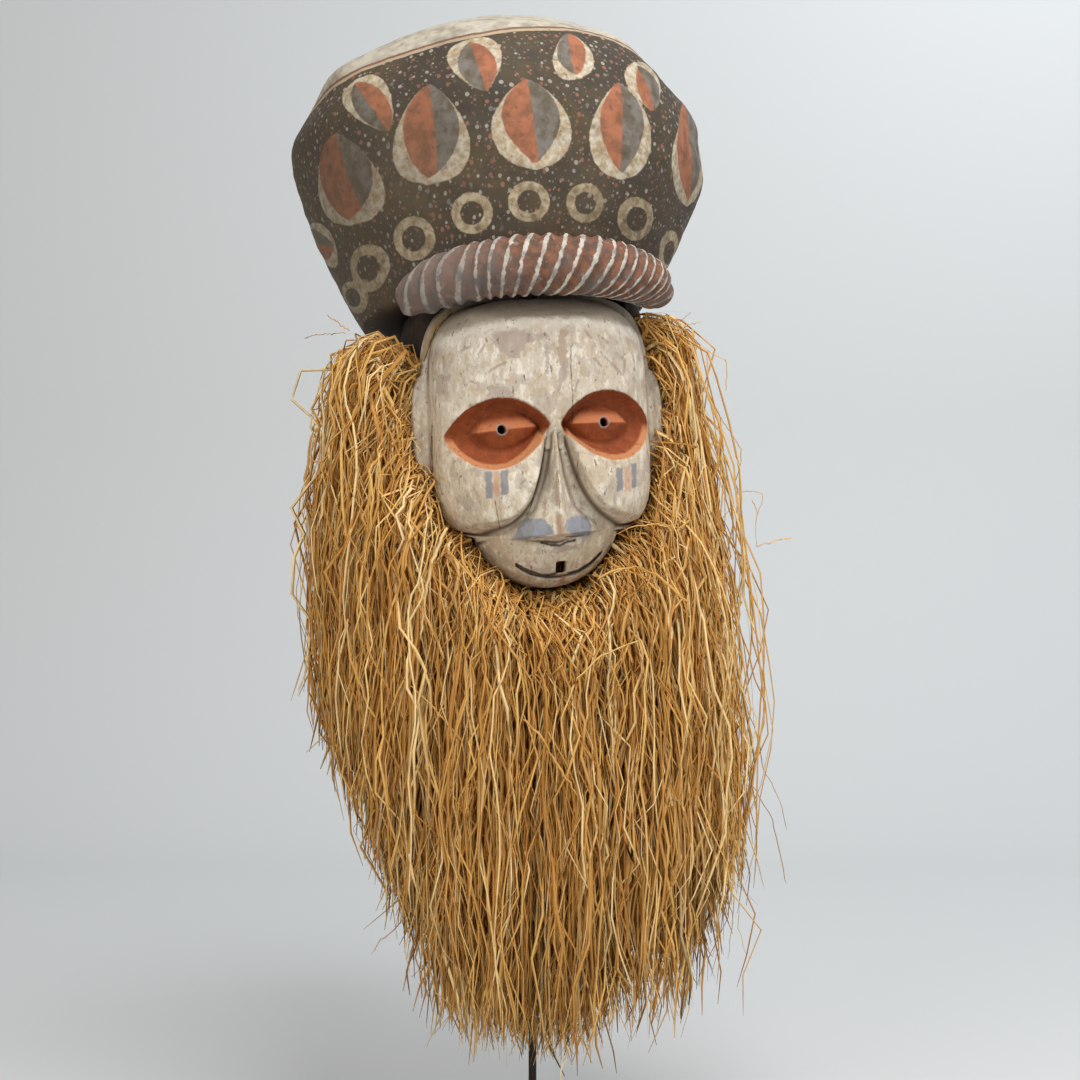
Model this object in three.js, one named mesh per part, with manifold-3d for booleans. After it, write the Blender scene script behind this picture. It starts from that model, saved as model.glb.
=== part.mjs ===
// A carved and painted face mask with a tall cloth headdress and a raffia fringe, on its display rod.
// Millimetres, +Z up, the face looks along -Y, +X is on the viewer's right.
// The origin is the middle of the foot plate's underside. The rod stands on the Z axis.
import * as THREE from "three";
import { mergeVertices } from "three/addons/utils/BufferGeometryUtils.js";
import Module from "manifold-3d";

const { abs, cos, exp, max, min, PI, pow, sin, sign, sqrt } = Math;
const wasm = await Module();
wasm.setup();

// Driving dimensions

const GAP = 0.4; // left between neighbours that touch on the real mask
const SOFT_GAP = 1.5; // left round the carved face by the soft pieces that are tied to it
const FOOT = { width: 300, depth: 280, height: 10 };
const ROD = { radius: 4, sides: 16, longest: 1180 }; // cut off under the headdress
// The curved pad on top of the rod, under the headdress's crown.
const CAP = { radius: 34, thickness: 9, sides: 24, lowest: 930 };
const BOSS = { radius: 14, height: 14, sides: 24 }; // the socket that the rod stands in

const FACE = {
  x: -6, // the face's middle line
  rimY: -50, // the plane of the rim at the back
  bridgeZ: 712, // the height of the nose's bridge, where the eye sockets meet
  halfWidth: 107,
  top: 121, // above the bridge
  cheekDrop: 107, // below the bridge
  depth: 74, // from the rim to the front, at the bridge
  cheekDepth: 84, // from the rim to the front of the cheek pads
  lean: 2.6, // degrees that the whole carving leans, its right side up
  wall: 13, // thickness of the side walls at the rim
  swell: 60, // how far below the bridge the cheeks reach their full depth
};
// How far above and below the bridge the curves of the front and of the hollow back would run out.
const DOME = { above: 127, below: 190 };
const HOLLOW = { depth: 46, above: 108, below: 146, behind: 5 };
const CHIN = { middle: -85, halfHeight: 70, halfWidth: 73, depth: 64 };
const RIM = { reach: 7, thickness: 10 }; // the bare edge that the hood is sewn to
const EAR = { middle: 2, halfHeight: 52, reach: 18, thickness: 14 };
const FEATURES = { x: 2.5, lean: 2.2 }; // how far the features sit and lean off the outline
const EYE = {
  inner: 5, // from the features' middle line
  outer: 101,
  rise: 30.5,
  drop: 36.5,
  below: 1, // how far the line between its corners is below the bridge, at the inner one
  droop: 3.2, // how much lower it is at the outer one
  depth: 17,
  lens: 0.76, // size of the lens, as a share of the socket's
  ridge: 8,
};
const CHEEK = { middle: 60, inner: 58.5, outer: 75, bottom: 99, slope: 19 };
const NOSE = { length: 104, stand: 22, halfWidth: 28, nostril: 35, under: 10, cutBack: 12, drift: -6 };
const MOUTH = { x: -6, bottom: -143.5, halfWidth: 46, rise: 19, width: 4, depth: 3 };
const PUPIL = { x: 49.4, z: -2, radius: 4.3 };
const MOUTH_HOLE = { x: -1, z: -135, side: 10.5 };

const HOOD = {
  rimHalfWidth: 103,
  halfWidth: 127,
  widestY: 28,
  back: 138,
  bottom: 685,
  top: 880,
  thickness: 4,
  steps: 28,
  levels: [0, 0.4, 0.75, 1], // shares of its height
  taper: [-4, 0, -12, -22], // how far it draws in at each level
};

const CROWN = {
  x: -23,
  y: 30,
  z: 827, // the middle of the bottom opening
  lean: 15, // degrees that its axis leans back
  drift: 12, // how far the peak stands to the right of the opening's middle
  openingTilt: 9, // degrees that the opening is raised at the front
  rimTilt: 16, // the same for the widest part and the top
  openingRoll: -4, // degrees that the opening is raised on the left
  rimRoll: 5, // the same for the widest part
  wall: 5,
  turnIn: 0.015, // thickness of the turned-in edge, as a share of the height
  sides: 32,
  levels: 14,
  sticks: 8,
  firstStick: -102, // degrees round from the front
  slack: 0.03, // how far the cloth falls in between two sticks, as a share of the radius
  // radius at each height along the axis, from the opening to the peak
  profile: [
    [0, 142],
    [40, 166],
    [90, 195],
    [142, 209],
    [184, 202],
    [220, 185],
    [252, 146],
    [276, 98],
    [290, 16],
  ],
  // Where a stick's end pushes the cloth out, or slack cloth falls in: degrees round from the front,
  // share of the height, the half-widths of the place in the same units, and how far out it goes.
  pushes: [
    { turn: -66, share: 0.73, wide: 15, tall: 0.085, out: 13 },
    { turn: -92, share: 0.58, wide: 26, tall: 0.13, out: 10 },
    { turn: 30, share: 0.83, wide: 9, tall: 0.05, out: 5 },
    { turn: 50, share: 0.77, wide: 14, tall: 0.05, out: -5 },
    { turn: 68, share: 0.68, wide: 12, tall: 0.06, out: 5 },
    { turn: 84, share: 0.35, wide: 34, tall: 0.17, out: -13 },
  ],
};

const BROW_ROLL = {
  x: -10,
  y: -50,
  z: 829,
  spanX: 122,
  spanY: 78,
  lean: 24, // degrees that the front of its arc is raised
  turn: 84, // degrees from the middle to each end
  middleRadius: 28,
  endRadius: 15,
};

const FRINGE = {
  tufts: 30, // bundles of strands round the skirt, each standing a little proud
  tuftDepth: 7,
  leftReach: 104, // how far the tuft beside the left ear arches out
  rightReach: 80,
  rightFlare: 56, // how much further the right side stands out at its hem
  sideRise: 46, // how far the tufts rise above where they are tied
  tieHeight: 40, // above the bridge, where it is tied beside and behind the ears
  frontReach: 52,
  frontStart: 62, // how far the beard starts before the rim's plane, under the chin
  backReach: 56,
  thickness: 30,
  backHem: 298, // the strands behind are as long as the others and start higher
  ragged: 16, // how much further the tufts hang than the gaps between them
  // the height of the lower edge at each distance across, short on the left and long in the middle
  hem: [
    [-240, 340],
    [-200, 315],
    [-150, 235],
    [-100, 170],
    [-50, 125],
    [0, 102],
    [130, 94],
    [180, 150],
    [206, 220],
    [236, 315],
  ],
};

// Small helpers

const rad = THREE.MathUtils.degToRad;
const clamp = (t) => min(1, max(0, t));
const smooth = (t) => clamp(t) ** 2 * (3 - 2 * clamp(t));
const lerp = (a, b, t) => a + (b - a) * t;
const superRound = (t, n) => pow(max(0, 1 - pow(abs(t), n)), 1 / n);

// The value at t of a smooth curve through [place, value] pairs.
function curveThrough(pairs, t) {
  const last = pairs.length - 1;
  const i = max(0, pairs.findIndex(([place]) => t < place) - 1);
  const k = t >= pairs[last][0] ? last - 1 : i;
  const [p0, p1, p2, p3] = [k - 1, k, k + 1, k + 2].map((n) => pairs[min(last, max(0, n))]);
  const span = p2[0] - p1[0];
  const u = clamp((t - p1[0]) / span);
  const m1 = ((p2[1] - p0[1]) / (p2[0] - p0[0])) * span;
  const m2 = ((p3[1] - p1[1]) / (p3[0] - p1[0])) * span;
  const u2 = u * u;
  const u3 = u2 * u;
  return (
    (2 * u3 - 3 * u2 + 1) * p1[1] + (u3 - 2 * u2 + u) * m1 + (3 * u2 - 2 * u3) * p2[1] + (u3 - u2) * m2
  );
}

// Joins closed rings of points, one after the other. The ends are capped, or joined to each other.
function loft(rings, closed = false) {
  const n = rings[0].length;
  const points = rings.flat();
  const faces = [];
  const steps = closed ? rings.length : rings.length - 1;
  for (let i = 0; i < steps; i++) {
    const a = i * n;
    const b = ((i + 1) % rings.length) * n;
    for (let j = 0; j < n; j++) {
      const k = (j + 1) % n;
      faces.push([a + j, a + k, b + k], [a + j, b + k, b + j]);
    }
  }
  if (!closed) {
    for (const [ring, first, flip] of [
      [rings[0], 0, true],
      [rings.at(-1), (rings.length - 1) * n, false],
    ]) {
      const middle = ring.reduce((sum, p) => sum.add(p), new THREE.Vector3()).divideScalar(n);
      points.push(middle);
      const hub = points.length - 1;
      for (let j = 0; j < n; j++) {
        const [p, q] = [first + j, first + ((j + 1) % n)];
        faces.push(flip ? [hub, q, p] : [hub, p, q]);
      }
    }
  }
  const geometry = new THREE.BufferGeometry().setFromPoints(points);
  geometry.setIndex(faces.flat());
  return geometry;
}

// A solid between two outlines with the same number of points, of any shape.
function prism(front, back) {
  const n = front.length;
  const flat = front.map((p) => new THREE.Vector2(p.x, p.z));
  const cap = THREE.ShapeUtils.triangulateShape(flat, []);
  const faces = [];
  for (let i = 0; i < n; i++) {
    const j = (i + 1) % n;
    faces.push([i, j, n + j], [i, n + j, n + i]);
  }
  const turned = THREE.ShapeUtils.area(flat) > 0;
  for (const [a, b, c] of cap) {
    faces.push(turned ? [c, b, a] : [a, b, c], turned ? [n + a, n + b, n + c] : [n + c, n + b, n + a]);
  }
  const geometry = new THREE.BufferGeometry().setFromPoints([...front, ...back]);
  geometry.setIndex(faces.flat());
  return solid(geometry);
}

// A closed geometry as a solid that can be cut, turned right side out if need be.
function solid(geometry) {
  const bare = geometry.clone();
  bare.deleteAttribute("normal");
  bare.deleteAttribute("uv");
  const merged = mergeVertices(bare, 1e-3);
  const build = (triVerts) =>
    new wasm.Manifold(
      new wasm.Mesh({ numProp: 3, vertProperties: merged.attributes.position.array, triVerts }),
    );
  const triVerts = new Uint32Array(merged.index.array);
  const made = build(triVerts);
  if (made.volume() > 0) return made;
  return build(triVerts.reverse());
}

// The largest single body of a solid, as a named mesh with its finish.
function part(name, shape, finish) {
  const bodies = shape.decompose().sort((a, b) => b.volume() - a.volume());
  const mesh = bodies[0].getMesh();
  const geometry = new THREE.BufferGeometry();
  geometry.setAttribute("position", new THREE.BufferAttribute(new Float32Array(mesh.vertProperties), 3));
  geometry.setIndex(new THREE.BufferAttribute(new Uint32Array(mesh.triVerts), 1));
  geometry.computeVertexNormals();
  const made = new THREE.Mesh(geometry, finish);
  made.name = name;
  return made;
}

const finish = (color, roughness, metalness = 0) =>
  new THREE.MeshStandardMaterial({ color, roughness, metalness });

// The carved face, in its own upright frame: u across, v above the bridge, and heights off the rim's plane

const upperHalfWidth = (v) =>
  FACE.halfWidth * (v > 0 ? superRound(v / FACE.top, 4) : superRound(v / FACE.cheekDrop, 4.8));
const chinHalfWidth = (v) => CHIN.halfWidth * superRound((v - CHIN.middle) / CHIN.halfHeight, 2);

// A rounded section, as a share of its middle's height.
const section = (u, halfWidth) => pow(max(0, 1 - pow(min(1, abs(u) / halfWidth), 2.8)), 1 / 2.3);

// The forehead and the fronts of the cheeks, as one surface.
function upperFront(u, v) {
  const dome = FACE.depth * superRound(v / (v > 0 ? DOME.above : DOME.below), 3);
  const cheeks = (FACE.cheekDepth - FACE.depth) * smooth(-v / FACE.swell);
  return (dome + cheeks) * section(u, upperHalfWidth(v) + 0.5);
}

// The muzzle and chin, which run on behind the cheeks and the nose.
function lowerFront(u, v) {
  const curl = v > -60 ? 1 : superRound((v + 60) / (CHIN.halfHeight - CHIN.middle - 57), 2.6);
  return CHIN.depth * curl * section(u, chinHalfWidth(v) + 2);
}

// A closed form under a surface, standing on a plane behind the rim's by a given depth.
function reliefForm({ front, halfWidth, lowest, highest, rows, columns, behind = 0 }) {
  const rings = [];
  for (let i = 0; i <= rows; i++) {
    const t = i / rows;
    const v = lerp(lowest, highest, lerp(t, (1 - cos(PI * t)) / 2, 0.4));
    const reach = halfWidth(v);
    const ring = [];
    for (let j = 0; j <= columns; j++) {
      const across = -1 + (2 * j) / columns;
      const u = reach * lerp(across, sin((PI / 2) * across), 0.6);
      ring.push(new THREE.Vector3(u, -max(2, front(u, v)), v));
    }
    rings.push([...ring, new THREE.Vector3(reach, behind, v), new THREE.Vector3(-reach, behind, v)]);
  }
  return solid(loft(rings));
}

const leaned = (x, z, degrees) => [
  x * cos(rad(degrees)) - z * sin(rad(degrees)),
  x * sin(rad(degrees)) + z * cos(rad(degrees)),
];

// A point of the carved features, lifted off one of the face's surfaces.
function onFace(u, v, surface, lift = 0) {
  const [x, z] = leaned(u + FEATURES.x, v, FEATURES.lean);
  return new THREE.Vector3(x, -surface(x, z) - lift, z);
}

// The edge of a cheek pad, from the bridge down its inner side and round its foot to the outer side.
function padEdge(side, inset, steps = 18) {
  const points = [];
  for (let i = 0; i <= steps; i++) {
    const turn = (rad(158) * i) / steps;
    const reach = (cos(turn) > 0 ? CHEEK.inner : CHEEK.outer) - inset;
    const u = CHEEK.middle - reach * sign(cos(turn)) * pow(abs(cos(turn)), 0.91);
    points.push([side * u, -(CHEEK.bottom - inset) * sin(turn)]);
  }
  return points;
}

// The cut that leaves the cheek pads standing: everything below the bridge that is outside their edges.
function cheekValley() {
  const far = 170; // well outside the face
  const shoulder = -60; // where the cut runs out past the cheeks' outer sides
  const outline = (inset) => [
    ...padEdge(-1, inset).reverse(),
    ...padEdge(1, inset),
    [far, shoulder],
    [far, -far],
    [-far, -far],
    [-far, shoulder],
  ];
  const plane = (height) => () => height;
  const front = outline(CHEEK.slope).map(([u, v]) => onFace(u, v, plane(FACE.cheekDepth + 12)));
  const back = outline(0).map(([u, v]) => onFace(u, v, plane(FACE.cheekDepth - 46)));
  return prism(front, back);
}

// An eye's almond outline, drawn round its middle at a share of its size.
function almond(side, share, steps = 24, folded = false) {
  const points = [];
  const middle = (EYE.inner + EYE.outer) / 2;
  for (let i = 0; i < steps; i++) {
    const turn = (2 * PI * i) / steps;
    const s = (1 - cos(turn)) / 2;
    const upper = EYE.rise * pow(4 * s * (1 - s), 0.8);
    const lower = EYE.drop * pow(4 * pow(s, 1.15) * (1 - pow(s, 1.15)), 0.69);
    const v = folded ? 0 : (sin(turn) >= 0 ? upper : -lower) * share;
    const u = middle + (s - 0.5) * (EYE.outer - EYE.inner) * share;
    points.push([side * u, v - EYE.below - EYE.droop * s]);
  }
  return points;
}

// The cut for an eye: a sloping wall all round, and the lens left standing, with a ridge along it.
function eyeSocket(side) {
  const ring = (points, lift) => points.map(([u, v]) => onFace(u, v, upperFront, lift));
  return solid(
    loft([
      ring(almond(side, 1.06), 24),
      ring(almond(side, 1), 0),
      ring(almond(side, EYE.lens), -EYE.depth),
      ring(almond(side, EYE.lens * 0.9, 24, true), -EYE.ridge),
    ]),
  );
}

// The nose: a three-sided wedge from the bridge to the nostrils, cut back underneath.
function noseWedge() {
  const rings = [-0.06, 0.2, 0.45, 0.72, 0.88, 1].map((t) => {
    const flare = (NOSE.nostril - NOSE.halfWidth) * smooth((t - 0.75) / 0.2);
    const half = max(2, 2 + (NOSE.halfWidth - 2) * t + flare);
    const ridge = FACE.depth - 1 + NOSE.stand * t;
    const foot = CHIN.depth - NOSE.cutBack * t;
    const v = -NOSE.length * t;
    const u = NOSE.drift * t;
    return [
      onFace(u - half, v, () => foot),
      onFace(u, v, () => ridge),
      onFace(u + half, v, () => foot),
    ];
  });
  const under = rings.at(-1).map((p) => new THREE.Vector3(p.x, NOSE.cutBack - CHIN.depth, p.z - NOSE.under));
  under[1].y = -CHIN.depth - 2;
  return solid(loft([...rings, under]));
}

// The line of the smile, a narrow cut along an arc.
function mouthLine() {
  const steps = 12;
  const rings = [];
  for (let i = 0; i <= steps; i++) {
    const t = -1 + (2 * i) / steps;
    const u = MOUTH.x + MOUTH.halfWidth * t;
    const v = MOUTH.bottom + MOUTH.rise * t * t;
    const half = (MOUTH.width / 2) * superRound(t * 0.98, 3);
    rings.push([
      onFace(u, v + half, lowerFront, 1.5),
      onFace(u, v, lowerFront, -MOUTH.depth),
      onFace(u, v - half, lowerFront, 1.5),
    ]);
  }
  return solid(loft(rings));
}

// A straight cutter through the face, from front to back.
function piercing(u, v, radius, sides, turn = 0) {
  const tool = new THREE.CylinderGeometry(radius, radius, 130, sides);
  tool.rotateY(turn);
  const place = onFace(u, v, () => 0);
  tool.translate(place.x, -45, place.z);
  return solid(tool);
}

// The set-back edge round the face, with the ears as lobes of it.
function rimPlate(grow = 0) {
  const rows = 26;
  const [lowest, highest] = [EAR.middle - EAR.halfHeight, FACE.top + RIM.reach - 1];
  const rings = [];
  for (let i = 0; i <= rows; i++) {
    const v = lerp(lowest, highest, i / rows);
    const edge = upperHalfWidth(v * (FACE.top / (FACE.top + RIM.reach))) + (v > 20 ? RIM.reach : 0);
    const lobe = EAR.reach * superRound((v - EAR.middle) / EAR.halfHeight, 3);
    const reach = max(edge, upperHalfWidth(v) + lobe) + grow;
    const thick = lerp(RIM.thickness, EAR.thickness, smooth(lobe / EAR.reach)) + grow;
    rings.push([
      new THREE.Vector3(-reach, -thick + 4, v),
      new THREE.Vector3(-reach + 5, -thick, v),
      new THREE.Vector3(reach - 5, -thick, v),
      new THREE.Vector3(reach, -thick + 4, v),
      new THREE.Vector3(reach, 0, v),
      new THREE.Vector3(-reach, 0, v),
    ]);
  }
  return solid(loft(rings));
}

const facePlace = new THREE.Matrix4()
  .makeTranslation(FACE.x, FACE.rimY, FACE.bridgeZ)
  .multiply(new THREE.Matrix4().makeRotationY(-rad(FACE.lean)));

const upperForm = (grow = 0) =>
  reliefForm({
    front: (u, v) => upperFront(u, v) + grow,
    halfWidth: (v) => max(4, upperHalfWidth(v)) + grow,
    lowest: -FACE.cheekDrop + 0.4,
    highest: FACE.top - 0.4,
    rows: 20,
    columns: 20,
    behind: grow ? 8 : 0,
  });

const lowerForm = (grow = 0) =>
  reliefForm({
    front: (u, v) => lowerFront(u, v) + grow,
    halfWidth: (v) => max(3, chinHalfWidth(v)) + grow,
    lowest: CHIN.middle - CHIN.halfHeight + 0.5,
    highest: CHIN.middle + CHIN.halfHeight - 3,
    rows: 14,
    columns: 16,
    behind: grow ? 8 : 0,
  });

// The hollow behind the face, for the wearer's head.
function faceHollow() {
  const inner = (v) => max(upperHalfWidth(v), chinHalfWidth(v), 20) - FACE.wall;
  return reliefForm({
    front: (u, v) =>
      HOLLOW.depth * superRound(v / (v > 0 ? HOLLOW.above : HOLLOW.below), 3) * section(u, inner(v) + 1),
    halfWidth: inner,
    lowest: CHIN.middle - CHIN.halfHeight + FACE.wall,
    highest: FACE.top - FACE.wall,
    rows: 14,
    columns: 12,
    behind: HOLLOW.behind,
  });
}

function carvedFace() {
  let face = upperForm().subtract(cheekValley()).add(lowerForm()).add(noseWedge()).add(rimPlate());
  for (const cut of [
    eyeSocket(-1),
    eyeSocket(1),
    mouthLine(),
    faceHollow(),
    piercing(-PUPIL.x, PUPIL.z, PUPIL.radius, 12),
    piercing(PUPIL.x, PUPIL.z, PUPIL.radius, 12),
    piercing(MOUTH_HOLE.x, MOUTH_HOLE.z, MOUTH_HOLE.side / sqrt(2), 4, PI / 4),
  ]) {
    face = face.subtract(cut);
  }
  return face.transform(facePlace.elements);
}

// The face's plain outer form, a little larger, for keeping neighbours off it.
const faceEnvelope = (grow) =>
  upperForm(grow).add(lowerForm(grow)).add(rimPlate(grow)).transform(facePlace.elements);

// The dark cloth hood that closes the head's sides and back

// A point of the hood's outline seen from above, at a share of the way from the rim's left edge
// round the back to its right edge.
function hoodPlan(t, grow = 0) {
  const side = t < 0.5 ? -1 : 1;
  const along = 2 * min(t, 1 - t); // 0 at the rim, 1 at the middle of the back
  const frontShare = 0.36;
  const backTurn = (PI / 2) * clamp((along - frontShare) / (1 - frontShare));
  const frontTurn = (PI / 2) * (1 - clamp(along / frontShare));
  const bulge = HOOD.rimHalfWidth + (HOOD.halfWidth - HOOD.rimHalfWidth) * cos(frontTurn);
  const x = (along < frontShare ? bulge : HOOD.halfWidth * cos(backTurn)) + grow * cos(backTurn);
  const rear = HOOD.widestY + (HOOD.back - HOOD.widestY) * sin(backTurn) + grow * sin(backTurn);
  const fore = HOOD.widestY - (HOOD.widestY - FACE.rimY - GAP) * sin(frontTurn);
  return [FACE.x + side * x, along < frontShare ? fore : rear];
}

// The points of the outline at each of the hood's levels, drawn in by its taper and an inset.
const hoodLevels = (t, inset) =>
  HOOD.levels.map((level, k) => {
    const [x, y] = hoodPlan(t, HOOD.taper[k] - inset);
    return new THREE.Vector3(x, y, lerp(HOOD.bottom, HOOD.top, level));
  });

function hoodCloth() {
  const rings = Array.from({ length: HOOD.steps + 1 }, (_, i) => [
    ...hoodLevels(i / HOOD.steps, 0),
    ...hoodLevels(i / HOOD.steps, HOOD.thickness).reverse(),
  ]);
  return solid(loft(rings));
}

// A plain plug of the hood's outer form, for keeping neighbours off it.
function hoodPlug(grow) {
  const columns = Array.from({ length: HOOD.steps + 1 }, (_, i) => hoodLevels(i / HOOD.steps, -grow));
  return solid(loft(HOOD.levels.map((_, k) => columns.map((column) => column[k]))));
}

// The headdress: cloth drawn over sticks, so it is faceted where the sticks push it out

// The cloth's fall between two sticks, which fades out at the opening and the peak.
function slack(turn, share) {
  const between = 0.5 - 0.5 * cos(CROWN.sticks * (turn - rad(CROWN.firstStick)));
  return CROWN.slack * between * sin(PI * clamp(share * 1.1));
}

// How far the sticks' ends push the cloth out at a place.
function pushed(turn, share) {
  let out = 0;
  for (const push of CROWN.pushes) {
    const around = THREE.MathUtils.euclideanModulo(turn - rad(push.turn) + PI, 2 * PI) - PI;
    out += push.out * exp(-((around / rad(push.wide)) ** 2) - ((share - push.share) / push.tall) ** 2);
  }
  return out;
}

// One ring of the headdress, its outer form moved in by inset.
function crownRing(share, inset) {
  const peak = CROWN.profile.at(-1)[0];
  const height = share > 0 ? min(share * peak, peak - inset) : min(0, inset);
  const radius = max(4, curveThrough(CROWN.profile, share * peak) - inset);
  const lean = rad(CROWN.lean);
  const tilt = rad(lerp(CROWN.openingTilt, CROWN.rimTilt, smooth(share * 2)));
  const rolled = lerp(CROWN.openingRoll, CROWN.rimRoll, smooth(share * 2.4));
  const roll = rad(rolled * (1 - smooth(share * 2 - 1)));
  const middle = new THREE.Vector3(
    CROWN.x + CROWN.drift * share,
    CROWN.y + height * sin(lean),
    CROWN.z + height * cos(lean),
  );
  return Array.from({ length: CROWN.sides }, (_, i) => {
    const turn = (2 * PI * i) / CROWN.sides;
    const reach = radius * (1 - slack(turn, share)) + pushed(turn, share);
    const forward = reach * cos(turn);
    return new THREE.Vector3(
      middle.x + reach * sin(turn) * cos(roll),
      middle.y - forward * cos(tilt),
      middle.z + forward * sin(tilt) - reach * sin(turn) * sin(roll),
    );
  });
}

const crownRings = (inset) =>
  Array.from({ length: CROWN.levels + 1 }, (_, i) => crownRing(i / CROWN.levels, inset));

const crownPlug = (inset) => solid(loft(crownRings(inset)));

// The shell, with its lower edge turned in to meet the hood.
function headdress() {
  const shell = solid(loft([...crownRings(0).reverse(), ...crownRings(CROWN.wall)]));
  const turnIn = solid(loft([crownRing(0, CROWN.wall / 2), crownRing(CROWN.turnIn, CROWN.wall / 2)]));
  return shell.add(turnIn.subtract(hoodPlug(GAP)));
}

// The padded roll over the brow

function browRoll(grow = 0) {
  const steps = 24;
  const sides = 14;
  const lean = rad(BROW_ROLL.lean);
  const rings = [];
  for (let i = 0; i <= steps; i++) {
    const t = -1 + (2 * i) / steps;
    const turn = rad(BROW_ROLL.turn) * t;
    const out = new THREE.Vector3(sin(turn), -cos(turn) * cos(lean), cos(turn) * sin(lean));
    const up = new THREE.Vector3(0, sin(lean), cos(lean));
    const middle = new THREE.Vector3(
      BROW_ROLL.x + BROW_ROLL.spanX * sin(turn),
      BROW_ROLL.y - BROW_ROLL.spanY * cos(turn) * cos(lean),
      BROW_ROLL.z + BROW_ROLL.spanY * cos(turn) * sin(lean),
    );
    const full = lerp(BROW_ROLL.endRadius, BROW_ROLL.middleRadius, superRound(t, 1.7));
    const radius = full * superRound(t * 0.995, 7) + grow;
    const ring = [];
    for (let j = 0; j < sides; j++) {
      const a = (2 * PI * j) / sides;
      ring.push(middle.clone().addScaledVector(out, radius * cos(a)).addScaledVector(up, radius * sin(a)));
    }
    rings.push(ring);
  }
  const shape = loft(rings).translate(-BROW_ROLL.x, -BROW_ROLL.y, -BROW_ROLL.z);
  return solid(shape.rotateY(-rad(FACE.lean)).translate(BROW_ROLL.x, BROW_ROLL.y, BROW_ROLL.z));
}

// The raffia fringe: an open skirt that springs from under the face's rim and round the hood

// Where the fringe is tied on, and the way it springs, at a share of the way round from the chin.
function fringeRoot(s) {
  const side = s < 0.5 ? 1 : -1;
  const t = side > 0 ? 2 * s : 2 * (1 - s); // 0 under the chin, 1 at the nape
  const earShare = 0.5;
  const back = clamp((t - earShare) / (1 - earShare));
  const front = clamp(t / earShare);
  const v = lerp(CHIN.middle - CHIN.halfHeight, FRINGE.tieHeight, pow(front, 1.25));
  const edge = min(max(upperHalfWidth(v), chinHalfWidth(v)), HOOD.rimHalfWidth);
  const [hoodX, hoodY] = hoodPlan(side < 0 ? back / 2 : 1 - back / 2);
  const x = back > 0 ? hoodX - FACE.x : side * edge;
  const y = back > 0 ? hoodY : FACE.rimY;
  const [dx, dz] = leaned(side * abs(x), back > 0 ? FRINGE.tieHeight : v, FACE.lean);
  const way = PI * lerp(0.5 * pow(front, 0.9), 1, back);
  return {
    root: new THREE.Vector3(FACE.x + (back > 0 ? x : dx), y, FACE.bridgeZ + dz),
    way: new THREE.Vector3(side * sin(way), -cos(way), 0),
    front: 1 - front,
    back,
  };
}

// One slice of the skirt, outwards and down its outside, then back up its inside.
function fringeSection(s, proud) {
  const { root, way, front, back } = fringeRoot(s);
  const sideways = abs(way.x);
  const right = way.x > 0;
  const ends = back > 0 ? FRINGE.backReach : FRINGE.frontReach;
  const plain = lerp(ends, right ? FRINGE.rightReach : FRINGE.leftReach, pow(sideways, 1.5));
  const reach = plain - (proud ? 0 : FRINGE.tuftDepth);
  const flare = right ? FRINGE.rightFlare * sideways : 0;
  const forward = back > 0 ? 0 : FRINGE.frontStart * pow(1 - sideways, 1.2);
  const rise = FRINGE.sideRise * smooth(sideways * 1.3 - 0.3) * (1 - front * 0.5);
  const top = root.z + rise;
  const across = curveThrough(FRINGE.hem, root.x + way.x * (plain + flare));
  const hem = lerp(across, FRINGE.backHem, smooth(back * 2)) + (proud ? 0 : FRINGE.ragged);
  const height = (down) => top - (top - hem) * down;
  const at = (out, z, down) => {
    const far = out + flare * down;
    return new THREE.Vector3(root.x + way.x * far, root.y + way.y * (far + forward), z);
  };
  const inside = (share) => max(2, plain * share - FRINGE.thickness);
  return [
    at(reach * 0.18, top - rise * 0.3, 0),
    at(reach * 0.5, top, 0),
    at(reach * 0.8, top - 14, 0),
    at(reach * 0.96, top - 52, 0),
    at(reach, height(0.28), 0.28),
    at(reach, height(0.5), 0.5),
    at(reach, height(0.75), 0.75),
    at(reach, hem, 1),
    at(inside(1), hem, 1),
    at(inside(1), height(0.75), 0.75),
    at(inside(1), height(0.5), 0.5),
    at(inside(0.9), height(0.3), 0.28),
    at(inside(0.6), top - 60 - rise * 0.5, 0),
    at(2, top - 40 - rise, 0),
  ];
}

function raffiaFringe(keepOff) {
  const stations = 2 * FRINGE.tufts;
  const rings = Array.from({ length: stations }, (_, i) => fringeSection(i / stations, i % 2 === 0));
  let skirt = solid(loft(rings, true));
  for (const other of keepOff) skirt = skirt.subtract(other);
  return skirt;
}

// The stand

// An upright cylinder on the Z axis.
function upright(radius, bottom, top, sides) {
  const bar = new THREE.CylinderGeometry(radius, radius, top - bottom, sides);
  return solid(bar.rotateX(PI / 2).translate(0, 0, (top + bottom) / 2));
}

function footPlate() {
  const plate = new THREE.BoxGeometry(FOOT.width, FOOT.depth, FOOT.height).translate(0, 0, FOOT.height / 2);
  const boss = upright(BOSS.radius, FOOT.height - 1, FOOT.height + BOSS.height, BOSS.sides);
  const socket = upright(ROD.radius + GAP, FOOT.height / 2, FOOT.height + BOSS.height + 1, ROD.sides);
  return solid(plate).add(boss).subtract(socket);
}

// The rod and its pad, both cut to fit close under the headdress.
function displayRod() {
  const under = crownPlug(CROWN.wall + GAP);
  const lowered = (drop) => under.translate([0, 0, -drop]);
  const pad = upright(CAP.radius, CAP.lowest, ROD.longest, CAP.sides)
    .intersect(under)
    .subtract(lowered(CAP.thickness));
  const reach = lowered(CAP.thickness / 2).add(upright(CAP.radius, 0, CAP.lowest, CAP.sides));
  const bar = upright(ROD.radius, FOOT.height / 2 + GAP, ROD.longest, ROD.sides).intersect(reach);
  return bar.add(pad);
}

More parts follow.
